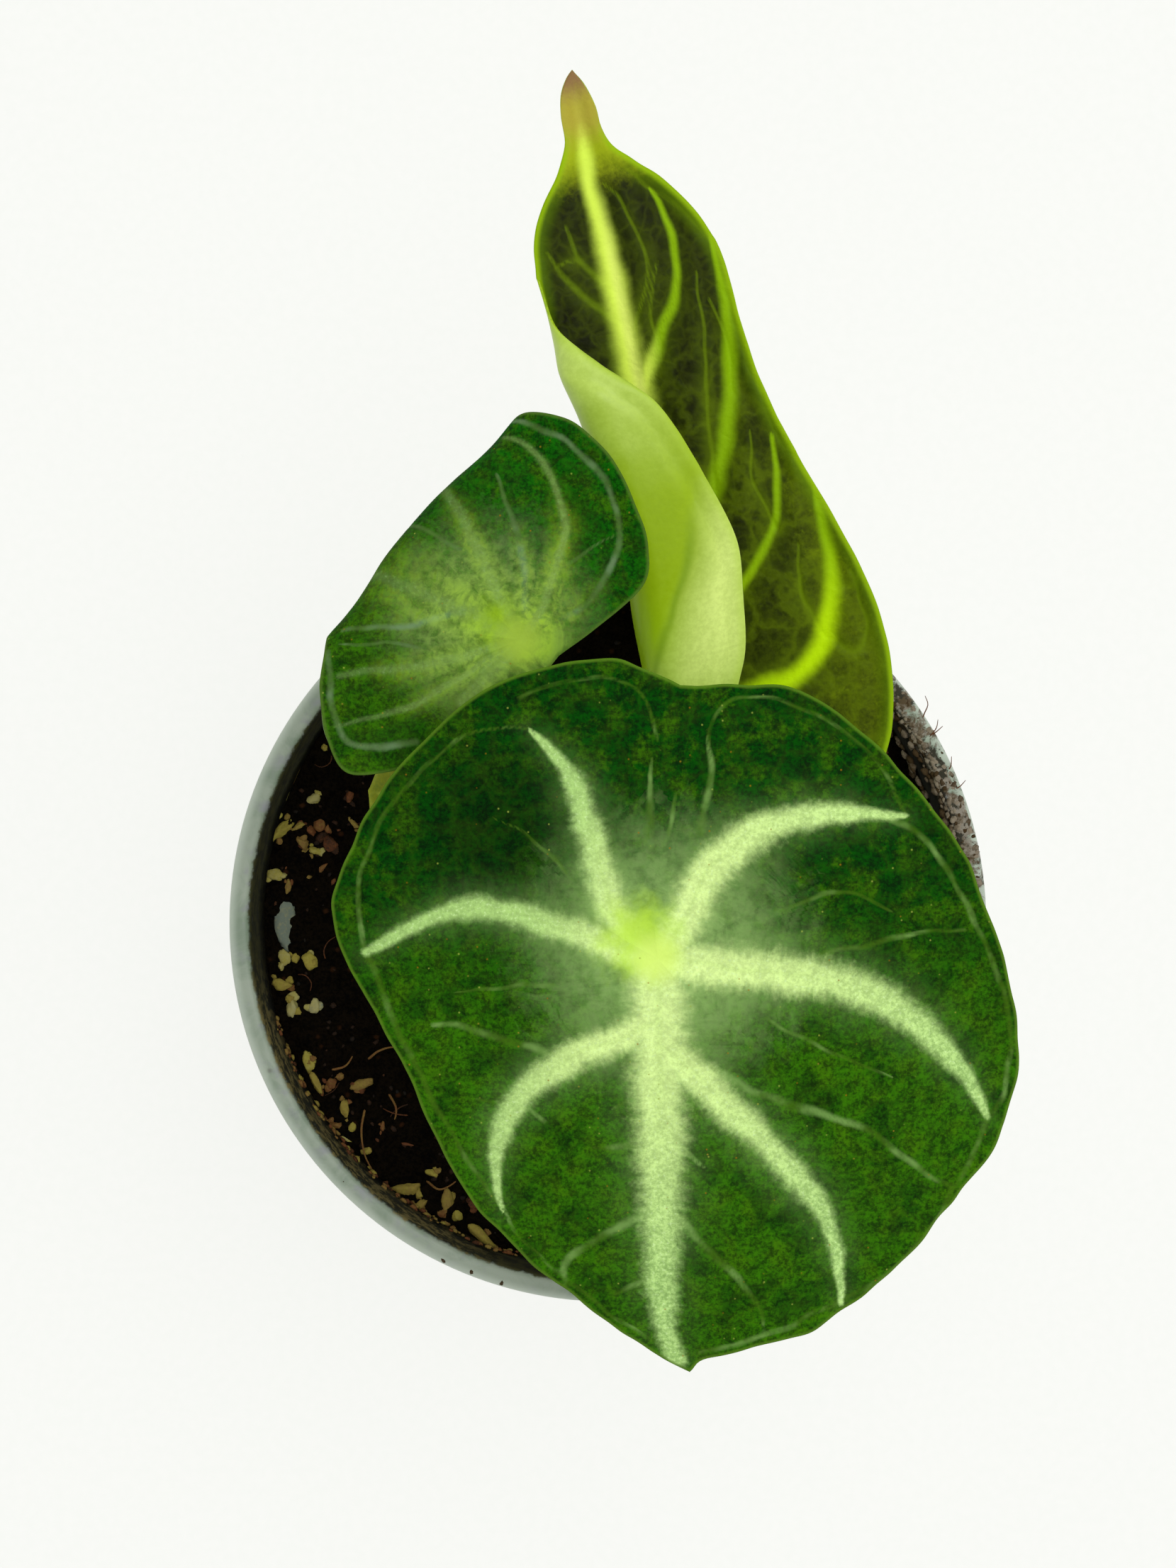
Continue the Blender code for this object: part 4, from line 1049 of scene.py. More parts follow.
def young_lower_face(name):
    """Lower face of the new blade: pale and smooth, with a painted sheen beside its long crease and
    painted shade on the roll's curved side.
    """
    paint, tree, shader = new_material(name, 0.36, 0.3)
    place = plan_place(tree)
    parts = add_node(tree, "ShaderNodeSeparateXYZ", {"Vector": place}).outputs
    edge = painted(tree, "edge_gap")
    grain = use_group(tree, grain_group, {"Place": place, "Fine": 2.2, "Coarse": 0.5})
    cloud = calc(tree, "SUBTRACT", noise(tree, place, 0.16, 3.0, 0.55), 0.5)
    height = plus(tree, parts["Y"], times(tree, cloud, 10.0))
    color = blend(tree, remap(tree, height, 17.0, 35.0), (0.33, 0.50, 0.001), (0.62, 0.81, 0.18))
    low = remap(tree, height, 0.0, 12.0, 0.8, 0.0)
    color = blend(tree, low, color, (0.32, 0.56, 0.002))
    # Painted sheen: a bright strip on the roll beside the long crease, where the roll catches the light.
    lean = vector_math(tree, "DOT_PRODUCT", place, CREASE_LEAN)
    past = calc(tree, "SUBTRACT", lean, CREASE_PLACE)
    bright = remap(tree, plus(tree, past, cloud), -1.0, 4.4)
    below_top = remap(tree, parts["Y"], 16.0, 28.0, 1.0, 0.0)
    above_base = remap(tree, parts["Y"], -3.0, 6.0, 0.2, 1.0)
    bright = times(tree, times(tree, bright, below_top), above_base)
    color = blend(tree, times(tree, bright, 0.95), color, (0.82, 1.0, 0.27))
    # Painted shade: darker on the roll's curved side, which turns away from the light.
    folded = remap(tree, parts["X"], -9.0, -5.0, 0.0, 0.4)
    color = blend(tree, folded, color, (0.20, 0.31, 0.003))
    crease = remap(tree, painted(tree, "thin_reach"), 0.0, 1.5, 0.55, 0.0)
    crease = times(tree, crease, remap(tree, parts["Y"], 12.0, 18.0, 1.0, 0.0))
    color = blend(tree, crease, color, (0.17, 0.32, 0.0015))
    mottle = remap(tree, grain["Grain"], 0.38, 0.62, 0.22, 0.0)
    color = blend(tree, mottle, color, (0.24, 0.38, 0.004))
    margin = remap(tree, edge, 0.1, 0.9, 0.5, 0.0)
    color = blend(tree, margin, color, (0.36, 0.55, 0.008))
    near_tip = remap(tree, parts["Y"], 44.0, 51.0, 0.0, 0.7)
    color = blend(tree, near_tip, color, (0.36, 0.30, 0.06))
    rough = remap(tree, grain["Grain"], 0.3, 0.7, 0.30, 0.46)
    finish_look(tree, shader, color, rough, grain["Height"], 0.3, 0.06)
    return paint


young_upper = young_face("young upper face")
young_lower = young_lower_face("young lower face")
young_edge = edge_face("young edge", (0.42, 0.60, 0.02), (0.26, 0.42, 0.008))

# %% [markdown]
# The roll is the hard part of this leaf. Along each cross-section the left half
# runs out flat, goes once round a small arc and comes back over the midrib. The
# flat sheet is simply wide enough for all three stretches, and its free margin
# then draws the long curve that shows in the photograph.

# %% New blade
NEW_LEFT = [
    (0.1, 53.1), (-0.5, 52.6), (-1.2, 51.5), (-1.6, 49.8), (-1.8, 47.6), (-2.9, 45.5),
    (-4.9, 42.9), (-6.1, 40.5), (-6.5, 38.2), (-7.2, 33.7), (-10.6, 29.6), (-13.3, 25.9), (-14.8, 19.3),
    (-15.8, 11.5), (-15.6, 5.4), (-14.3, 1.5), (-11.0, -5.0), (-6.5, -9.5),
    (-0.5, -7.0),
]
NEW_RIGHT = [
    (-0.5, -7.0), (6.0, -11.5), (11.5, -11.0), (14.9, -6.5), (16.3, -0.7),
    (16.1, 5.3), (14.4, 11.9), (12.2, 18.1), (10.2, 24.6), (9.3, 31.1),
    (9.0, 36.0), (8.0, 39.2), (5.4, 43.2), (3.5, 45.0), (2.0, 46.7), (1.4, 48.3),
    (1.3, 49.9), (0.8, 51.9), (0.1, 53.1),
]
NEW_MAIN = [
    ([(0, 0), (-0.1, 14.0), (-0.4, 28.7), (-0.3, 38.0), (-0.5, 46.0), (0.0, 51.5)], 1.25, 0.3),
    ([(0.0, 27.2), (2.4, 30.7), (4.8, 34.9), (5.2, 39.6), (4.3, 42.8)], 0.42, 0.12),
    ([(0.2, 12.0), (4.4, 17.9), (7.5, 25.6), (8.5, 33.3), (8.5, 38.0)], 0.62, 0.2),
    ([(0.2, 4.5), (5.6, 10.6), (8.9, 13.6), (9.8, 18.7), (10.2, 21.4)], 0.42, 0.15),
    ([(0, 0), (6.6, 0.7), (9.8, 1.7), (12.3, 6.2), (13.0, 13.5), (12.7, 18.0)], 0.85, 0.15),
]
NEW_THIN = [
    ([(0.2, 31.5), (2.6, 36.0), (2.4, 40.5), (0.8, 44.0)], 0.14, 0.1),
    ([(-0.4, 35.5), (-2.6, 38.3), (-3.2, 41.5)], 0.22, 0.1),
    ([(-0.4, 33.0), (-3.4, 36.0), (-5.2, 39.5)], 0.26, 0.12),
    ([(-2.6, 38.3), (-3.6, 38.6), (-5.0, 38.4)], 0.14, 0.1),
    ([(2.4, 30.7), (2.2, 33.5), (3.4, 37.0)], 0.13, 0.1),
    ([(4.4, 17.9), (5.0, 23.0), (5.9, 29.0), (6.6, 35.5)], 0.17, 0.1),
    ([(7.5, 25.6), (8.0, 29.0), (7.2, 33.0)], 0.13, 0.1),
    ([(9.0, 13.7), (7.6, 17.5), (8.4, 22.0)], 0.14, 0.1),
    ([(11.3, 3.9), (9.6, 8.0), (10.4, 12.0)], 0.16, 0.1),
    ([(12.0, 3.2), (13.8, 1.4), (15.0, 4.5), (14.4, 9.0)], 0.18, 0.1),
    ([(12.6, 8.0), (14.3, 7.2), (15.0, 8.6)], 0.14, 0.1),
    ([(8.5, 37.5), (6.6, 40.2), (4.3, 42.8), (1.6, 45.2)], 0.16, 0.1),
    ([(12.9, 15.0), (11.2, 19.5), (9.2, 26.5), (8.6, 33.0)], 0.16, 0.1),
    ([(-14.2, 18.9), (-12.6, 16.6), (-11.1, 12.0), (-9.1, 7.3), (-7.9, 5.2), (-7.0, 2.0)], 0.42, 0.42),
]
NEW_LENGTH = 53.1
NEW_RISE = 17.0
NEW_TURN = math.radians(13.1)
ROLL_PLACES = [-12.0, 4.8, 8.8, 13.3, 19.4, 25.4, 29.4, 32.3, 36.0, 38.3]
ROLL_EDGES = [4.7, 4.5, 4.4, 4.1, 4.5, 5.1, 5.9, 6.0, 6.2, 6.4]
ROLL_RADIUS = 2.2
ROLL_TIP_RADIUS = 0.35
ROLL_NARROWS = 27.0
ROLL_END = 37.5
NEW_FLARE = 0.16
NEW_ARCH = 0.006
ROLL_LINE = spline(list(zip(ROLL_PLACES, ROLL_EDGES)), 120)


def new_shape(flat):
    """Right half open, left half rolled over the midrib, rising to the tip."""
    across, along = flat[:, 0], flat[:, 1]
    edge = np.interp(along, ROLL_LINE[:, 0], ROLL_LINE[:, 1])
    radius = np.interp(along, [ROLL_NARROWS, ROLL_END], [ROLL_RADIUS, ROLL_TIP_RADIUS])
    flat_part = edge - radius
    past = np.where(along < ROLL_END, -across - flat_part, -1.0)
    arc = np.clip(past / radius, 0.0, math.pi)
    back = np.maximum(past - radius * math.pi, 0.0)
    left = -flat_part - radius * np.sin(arc) + back
    side = np.where(past > 0.0, left, across)
    lift = np.where(past > 0.0, radius * (1.0 - np.cos(arc)), 0.0)
    lift += np.where(across > 0.0, NEW_FLARE * across - NEW_ARCH * across ** 2, 0.0)
    share = np.clip(along / NEW_LENGTH, -0.4, 1.0)
    rise = NEW_RISE * (1.3 * share - 0.3 * share ** 2)
    turned_x = side * math.cos(NEW_TURN) - along * math.sin(NEW_TURN)
    turned_y = side * math.sin(NEW_TURN) + along * math.cos(NEW_TURN)
    return np.stack([turned_x, turned_y, rise + lift], axis=1)


new_blade = make_blade(
    "new_leaf_blade", "new_blade", (NEW_LEFT, NEW_RIGHT),
    (NEW_MAIN, NEW_THIN, NEW_MAIN + NEW_THIN[:-1]), new_shape, (420, 108, 0.15, 14.0),
    (young_upper, young_lower, young_edge))

# %% [markdown]
# Only a mustard sliver of the oldest leaf shows between its two neighbours. It is
# fading, so its green has gone dull and yellow. It is a small arched oval.

# %% Old blade
OLD_LEFT = [
    (-10.4, 2.8), (-9.6, -2.0), (-6.5, -5.6), (-1.0, -6.6), (3.6, -4.6), (4.6, 0.0),
]
OLD_RIGHT = [
    (4.6, 0.0), (4.0, 4.4), (0.0, 7.0), (-5.5, 6.8), (-9.0, 5.2), (-10.4, 2.8),
]
OLD_MAIN = [
    ([(0, 0), (-9.4, 2.5)], 0.5, 0.2),
    ([(0, 0), (-4.0, 5.4)], 0.4, 0.15),
    ([(0, 0), (-5.5, -4.6)], 0.4, 0.15),
]
OLD_THIN = [
    ([(-2.0, 0.5), (-6.5, 4.2)], 0.2, 0.1),
    ([(-2.0, 0.5), (-7.5, -1.4)], 0.2, 0.1),
]
OLD_LEAN = 0.12
OLD_DROOP = 0.012


def old_shape(flat):
    """A plain arched oval that hangs a little."""
    x, y = flat[:, 0], flat[:, 1]
    height = OLD_LEAN * x - OLD_DROOP * (x ** 2 + y ** 2)
    return np.stack([x, y, height], axis=1)


old_face = lower_face(
    "fading upper face", (0.30, 0.33, 0.004), (0.20, 0.26, 0.003), (0.40, 0.46, 0.03), 0.6)
old_blade = make_blade(
    "old_leaf_blade", "old_blade", (OLD_LEFT, OLD_RIGHT),
    (OLD_MAIN, OLD_THIN, OLD_MAIN), old_shape, (120, 30, 0.3, 21.0),
    (old_face, mature_lower, mature_edge))

# %% [markdown]
# The pot is a thin plastic grower's pot, moulded in one piece. It tapers to the
# base, has a turned-down collar at the top and stands on a low ring. Its profile
# is drawn once and turned round the axis. The corners get small arcs, because it
# is the arcs that catch light and make plastic look moulded. Drain holes are cut
# through the base with a Boolean, which is then applied.

# %% Pot profile and turning
RIM_WIDTH = 2.0 * MM
RIM_DEPTH = 5.0 * MM
LIP = 1.2 * MM
BASE_RADIUS = 25.0 * MM
WALL = 1.0 * MM
FLOOR_THICK = 1.2 * MM
FOOT_WIDTH = 2.5 * MM
FOOT_HEIGHT = 1.5 * MM
PAD_RADIUS = 9.0 * MM
POT_STEPS = 192
DRAIN_COUNT = 6
DRAIN_RADIUS = 2.75 * MM
DRAIN_CIRCLE = 15.5 * MM


def outer_radius(height):
    """Radius of the pot's outer wall at a height."""
    share = height / (POT_HEIGHT - RIM_DEPTH)
    return BASE_RADIUS + share * (RIM_RADIUS - LIP - BASE_RADIUS)


def rounded(corners, radii, steps=5):
    """Replace each inner corner of a flat profile by a small arc."""
    line = [corners[0]]
    for before, corner, after, radius in zip(corners, corners[1:], corners[2:], radii):
        if radius == 0.0:
            line.append(corner)
            continue
        here = Vector(corner)
        back = (Vector(before) - here).normalized()
        ahead = (Vector(after) - here).normalized()
        start, end = here + back * radius, here + ahead * radius
        for i in range(steps + 1):
            t = i / steps
            line.append(tuple(start * (1 - t) ** 2 + here * 2 * t * (1 - t) + end * t ** 2))
    return line + [corners[-1]]


def finished_mesh(work, name):
    """Turn a bmesh into a smooth mesh and free it."""
    for face in work.faces:
        face.smooth = True
    mesh = bpy.data.meshes.new(name)
    work.to_mesh(mesh)
    work.free()
    return mesh


def turned_mesh(name, profile, steps):
    """Turn a profile round the Z axis into a mesh with merged poles."""
    work = bmesh.new()
    chain = [work.verts.new((radius, 0.0, height)) for radius, height in profile]
    edges = [work.edges.new(pair) for pair in zip(chain, chain[1:])]
    bmesh.ops.spin(
        work, geom=chain + edges, cent=(0, 0, 0), axis=(0, 0, 1),
        angle=2.0 * math.pi, steps=steps, use_merge=True)
    bmesh.ops.remove_doubles(work, verts=work.verts, dist=0.01 * MM)
    bmesh.ops.recalc_face_normals(work, faces=work.faces)
    return finished_mesh(work, name)


def add_piece(name, mesh, paint, node=None):
    """Put a mesh into the scene as a piece that rides on the body."""
    piece = bpy.data.objects.new(name, mesh)
    bpy.context.scene.collection.objects.link(piece)
    mesh.materials.append(paint)
    if node is not None:
        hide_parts(node)
    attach(piece, "root")
    return piece


def cut_hole(piece, x, y, radius, low, high):
    """Cut one round hole straight through and leave nothing of the cutter."""
    bpy.ops.mesh.primitive_cylinder_add(
        vertices=40, radius=radius, depth=high - low, location=(x, y, (low + high) / 2))
    cutter = bpy.context.object
    modifier = piece.modifiers.new("Hole", "BOOLEAN")
    modifier.operation = "DIFFERENCE"
    modifier.solver = "EXACT"
    modifier.object = cutter
    bpy.context.view_layer.objects.active = piece
    bpy.ops.object.modifier_apply(modifier=modifier.name)
    bpy.data.objects.remove(cutter, do_unlink=True)


floor_top = FOOT_HEIGHT + FLOOR_THICK
collar_low = POT_HEIGHT - RIM_DEPTH
rim_inner = RIM_RADIUS - RIM_WIDTH
pot_corners = [
    (0.0, floor_top),
    (outer_radius(floor_top) - WALL, floor_top),
    (outer_radius(collar_low) - WALL, collar_low),
    (rim_inner, POT_HEIGHT),
    (RIM_RADIUS, POT_HEIGHT),
    (RIM_RADIUS, collar_low),
    (outer_radius(collar_low), collar_low),
    (BASE_RADIUS, 0.0),
    (BASE_RADIUS - FOOT_WIDTH, 0.0),
    (BASE_RADIUS - FOOT_WIDTH - 0.5 * MM, FOOT_HEIGHT),
    (PAD_RADIUS + 0.5 * MM, FOOT_HEIGHT),
    (PAD_RADIUS, 0.0),
    (0.0, 0.0),
]
pot_arcs = [radius * MM for radius in (1.2, 0.0, 0.7, 0.8, 0.5, 0.3, 0.6, 0.4, 0.4, 0.4, 0.4)]
pot_mesh = turned_mesh("nursery_pot", rounded(pot_corners, pot_arcs), POT_STEPS)
print("pot: %d faces" % len(pot_mesh.polygons))

# %% [markdown]
# From above the rim is a pale grey ring, cloudy rather than white, with a painted
# highlight along its outer edge; the wall below the collar is painted lighter, as
# painted light. Wet soil has left a brown film on the inside, and at the right the
# rim is crusted with it. The film is also painted shade, for the narrow gap above
# the soil lies in shadow, and it is darker still towards the right. Both are masks
# in the pot's own coordinates: the film depends on the height and on being inside,
# the crust on the angle round the rim, and noise breaks their borders.

# %% Pot material
CRUST_MIDDLE = math.radians(21.0)
CRUST_HALF = math.radians(34.0)
INNER_EDGE = 33.3 * MM
INNER_SLOPE = 0.154
INNER_START = 24.5 * MM
DRY_MIDDLE = math.radians(140.0)


def in_millimetres(tree):
    """The piece's own coordinates in millimetres."""
    place = add_node(tree, "ShaderNodeTexCoord").outputs["Object"]
    return vector_math(tree, "SCALE", place, scale=1.0 / MM)


def pot_plastic():
    """Cloudy white plastic with a soil stain and painted shade inside, a crust on the rim, a painted
    highlight on its outer edge and painted light on the wall below.
    """
    paint, tree, shader = new_material("cloudy plastic", 0.42, 0.32)
    place = add_node(tree, "ShaderNodeTexCoord").outputs["Object"]
    parts = add_node(tree, "ShaderNodeSeparateXYZ", {"Vector": place}).outputs
    flat = add_node(tree, "ShaderNodeCombineXYZ", {"X": parts["X"], "Y": parts["Y"]})
    radius = vector_math(tree, "LENGTH", flat.outputs[0])
    in_mm = in_millimetres(tree)
    cloud = remap(tree, noise(tree, in_mm, 0.22, 4.0, 0.6, 0.8), 0.35, 0.65)
    color = blend(tree, cloud, (0.22, 0.285, 0.205), (0.34, 0.395, 0.31))
    violet = remap(tree, noise(tree, in_mm, 0.5, 3.0), 0.5, 0.68)
    inner_ring = remap(tree, radius, 33.4 * MM, 34.2 * MM, 0.75, 0.30)
    color = blend(tree, times(tree, violet, inner_ring), color, (0.27, 0.275, 0.30))
    # Painted highlight: the outer edge of the rim's top is lighter, where its rounding catches the light.
    outer_edge = remap(tree, radius, 34.0 * MM, 34.8 * MM)
    top_only = remap(tree, parts["Z"], 60.5 * MM, 61.5 * MM)
    rim_highlight = times(tree, times(tree, outer_edge, top_only), 0.6)
    color = blend(tree, rim_highlight, color, (0.55, 0.62, 0.52))
    # Painted light: the wall below the collar is painted lighter than the rim, as the sides get less
    # light.
    outside = remap(tree, parts["Z"], 56.0 * MM, 60.5 * MM, 1.0, 0.0)
    color = blend(tree, outside, color, (0.60, 0.63, 0.58))
    scuff = use_group(tree, speck_group, {"Place": in_mm, "Cells": 0.35, "Size": 0.13, "Share": 0.3})
    color = blend(tree, times(tree, scuff["Mask"], 0.6), color, (0.11, 0.10, 0.085))

    grit = noise(tree, in_mm, 0.9, 5.0, 0.7)
    # Soil stain and painted shade in one: the inner wall is darkened both by a soil film and by the shade
    # of the narrow gap above the soil.
    sloping = add_node(
        tree, "ShaderNodeMath", {0: parts["Z"], 1: INNER_SLOPE, 2: INNER_START}, operation="MULTIPLY_ADD")
    inner_limit = calc(tree, "MINIMUM", sloping.outputs[0], INNER_EDGE)
    inside_by = calc(tree, "SUBTRACT", inner_limit, radius)
    ragged = times(tree, calc(tree, "SUBTRACT", grit, 0.5), 0.8 * MM)
    uneven = plus(tree, inside_by, ragged)
    stain_and_shade = remap(tree, uneven, -0.02 * MM, 0.28 * MM)
    angle = calc(tree, "ARCTAN2", parts["Y"], parts["X"])
    stain_and_shade_color = blend(tree, remap(tree, grit, 0.4, 0.6), (0.012, 0.010, 0.002), (0.045, 0.042, 0.006))
    off_right = calc(tree, "ABSOLUTE", calc(tree, "SUBTRACT", angle, CRUST_MIDDLE))
    # Darker still towards the right.
    darker_right = remap(tree, off_right, 0.5, 0.9, 0.85, 0.0)
    stain_and_shade_color = blend(tree, darker_right, stain_and_shade_color, (0.006, 0.004, 0.001))
    off_dry = calc(tree, "ABSOLUTE", plus(tree, angle, DRY_MIDDLE))
    dry = remap(tree, off_dry, 0.35, 0.62, 1.0, 0.0)
    dry = times(tree, dry, remap(tree, grit, 0.46, 0.58))
    stain_and_shade_color = blend(tree, dry, stain_and_shade_color, (0.21, 0.165, 0.055))
    color = blend(tree, times(tree, stain_and_shade, 0.97), color, stain_and_shade_color)

    sector = remap(tree, off_right, 0.62 * CRUST_HALF, CRUST_HALF, 1.0, 0.0)
    lowest = remap(tree, radius, 33.0 * MM, 35.2 * MM, 0.30, 0.50)
    crust_noise = noise(tree, in_mm, 0.55, 5.0, 0.68, 0.6)
    crust = remap(tree, crust_noise, lowest, plus(tree, lowest, 0.10))
    high_up = remap(tree, parts["Z"], 58.5 * MM, 60.5 * MM)
    crust = times(tree, times(tree, crust, sector), high_up)
    pale = remap(tree, grit, 0.40, 0.58)
    crust_color = blend(tree, pale, (0.075, 0.044, 0.016), (0.265, 0.23, 0.185))
    black = remap(tree, noise(tree, in_mm, 0.75, 4.0, 0.6), 0.52, 0.60)
    crust_color = blend(tree, black, crust_color, (0.018, 0.012, 0.004))
    color = blend(tree, times(tree, crust, 0.95), color, crust_color)
    rough = remap(tree, calc(tree, "MAXIMUM", stain_and_shade, crust), 0.0, 1.0, 0.40, 0.85)
    height = plus(tree, times(tree, cloud, 0.3), times(tree, crust, 2.0))
    finish_look(tree, shader, color, rough, height, 0.4, 0.12)
    return paint


plastic = pot_plastic()
pot = add_piece("nursery_pot", pot_mesh, plastic, node="pot")
for i in range(DRAIN_COUNT):
    turn = 2.0 * math.pi * i / DRAIN_COUNT
    cut_hole(
        pot, DRAIN_CIRCLE * math.cos(turn), DRAIN_CIRCLE * math.sin(turn), DRAIN_RADIUS,
        -1.0 * MM, 8.0 * MM)

# %% [markdown]
# Potting soil reads as soil only when its surface is crumbly at two sizes. A fine
# square grid is trimmed to the pot, and cell noise lifts each crumb into a small
# dome. The same height function then seats every chip and root on the surface, so
# that nothing floats. The side and the base are closed, because the drain holes
# show the soil from below.

# %% Soil surface
SOIL_TOP = 56.5
SOIL_HEAP = 1.6
SOIL_CEILING = 58.6
WALL_MM = WALL / MM
SOIL_CLEARANCE = 0.45
SOIL_RADIUS = outer_radius(SOIL_TOP * MM) / MM - WALL_MM - SOIL_CLEARANCE
SOIL_LOW = floor_top / MM + 0.3
SOIL_LOW_RADIUS = outer_radius(floor_top) / MM - WALL_MM - SOIL_CLEARANCE
SOIL_STEP = 0.26


def soil_height(x, y):
    """Height of the soil in millimetres at a place in millimetres."""
    heap = SOIL_HEAP * (-0.35 * x - 0.6 * y) / 33.0
    wave = math.sin(x / 3.1 + 0.7) * math.cos(y / 2.7 - 0.4)
    clump = solid_noise.noise(Vector((x * 0.28, y * 0.28, 2.0)))
    big = solid_noise.voronoi(Vector((x * 0.62, y * 0.62, 5.0)))[0][0]
    small = solid_noise.voronoi(Vector((x * 1.5, y * 1.5, 9.0)))[0][0]
    crumbs = 0.75 * (0.5 - big) + 0.42 * (0.4 - small)
    return min(SOIL_TOP + heap + 0.45 * wave + 0.8 * clump + crumbs, SOIL_CEILING)


def make_soil_mesh():
    """Grid trimmed to the pot, closed down the side and across the base."""
    work = bmesh.new()
    count = int(SOIL_RADIUS / SOIL_STEP) + 1
    grid = {}
    for i in range(-count, count + 1):
        for j in range(-count, count + 1):
            x, y = i * SOIL_STEP, j * SOIL_STEP
            reach = math.hypot(x, y)
            if reach > SOIL_RADIUS + 1.2 * SOIL_STEP:
                continue
            if reach > SOIL_RADIUS:
                x, y = x * SOIL_RADIUS / reach, y * SOIL_RADIUS / reach
            grid[(i, j)] = work.verts.new((x * MM, y * MM, soil_height(x, y) * MM))
    for (i, j), first in grid.items():
        corners = [first, grid.get((i + 1, j)), grid.get((i + 1, j + 1)), grid.get((i, j + 1))]
        if None not in corners:
            work.faces.new(corners)
    bmesh.ops.remove_doubles(work, verts=work.verts, dist=0.01 * MM)
    loose = [vert for vert in work.verts if not vert.link_faces]
    bmesh.ops.delete(work, geom=loose, context="VERTS")
    border = [edge for edge in work.edges if edge.is_boundary]
    skirt = bmesh.ops.extrude_edge_only(work, edges=border)["geom"]
    for vert in skirt:
        if isinstance(vert, bmesh.types.BMVert):
            turn = math.atan2(vert.co.y, vert.co.x)
            vert.co.x = SOIL_LOW_RADIUS * MM * math.cos(turn)
            vert.co.y = SOIL_LOW_RADIUS * MM * math.sin(turn)
            vert.co.z = SOIL_LOW * MM
    base = [edge for edge in work.edges if edge.is_boundary]
    bmesh.ops.holes_fill(work, edges=base, sides=0)
    bmesh.ops.recalc_face_normals(work, faces=work.faces)
    return finished_mesh(work, "potting_soil")


soil_mesh = make_soil_mesh()
print("soil: %d faces" % len(soil_mesh.polygons))

# %% [markdown]
# The mix is peat, bark and grit. Peat is almost black when it is moist, with
# reddish fibres in it. One material covers the surface; it goes from black in the
# hollows to a dull red-brown on a few crumbs.

# %% Soil material


def moist_peat():
    """Near-black soil with reddish crumbs."""
    paint, tree, shader = new_material("moist peat", 0.9, 0.03)
    in_mm = in_millimetres(tree)
    grain = use_group(tree, grain_group, {"Place": in_mm, "Fine": 3.2, "Coarse": 0.8})
    raised = remap(tree, grain["Grain"], 0.38, 0.62)
    color = blend(tree, raised, (0.0010, 0.0007, 0.0004), (0.0065, 0.0042, 0.0020))
    cells = add_node(tree, "ShaderNodeTexVoronoi", {"Vector": in_mm, "Scale": 1.1})
    chance = add_node(tree, "ShaderNodeSeparateColor", {"Color": cells.outputs["Color"]}).outputs[1]
    crumb = remap(tree, cells.outputs["Distance"], 0.1, 0.42, 1.0, 0.0)
    reddish = times(tree, remap(tree, chance, 0.90, 0.98), crumb)
    color = blend(tree, times(tree, reddish, 0.6), color, (0.055, 0.020, 0.007))
    rough = remap(tree, grain["Grain"], 0.3, 0.7, 0.72, 0.98)
    finish_look(tree, shader, color, rough, grain["Height"], 0.7, 0.22)
    return paint


peat = moist_peat()
add_piece("potting_soil", soil_mesh, peat, node="soil")

# %% [markdown]
# Chips of bark, tan grit and pale perlite lie on the soil and give it its scale.
# Each chip is a ball that noise has knocked out of round, squashed and turned.
# The ones that show in the photograph are in the list, as x, y, width, length,
# turn and tone. Dice with a fixed seed fill the rest. A number stored on each
# chip, its tone, lets one material colour them all.

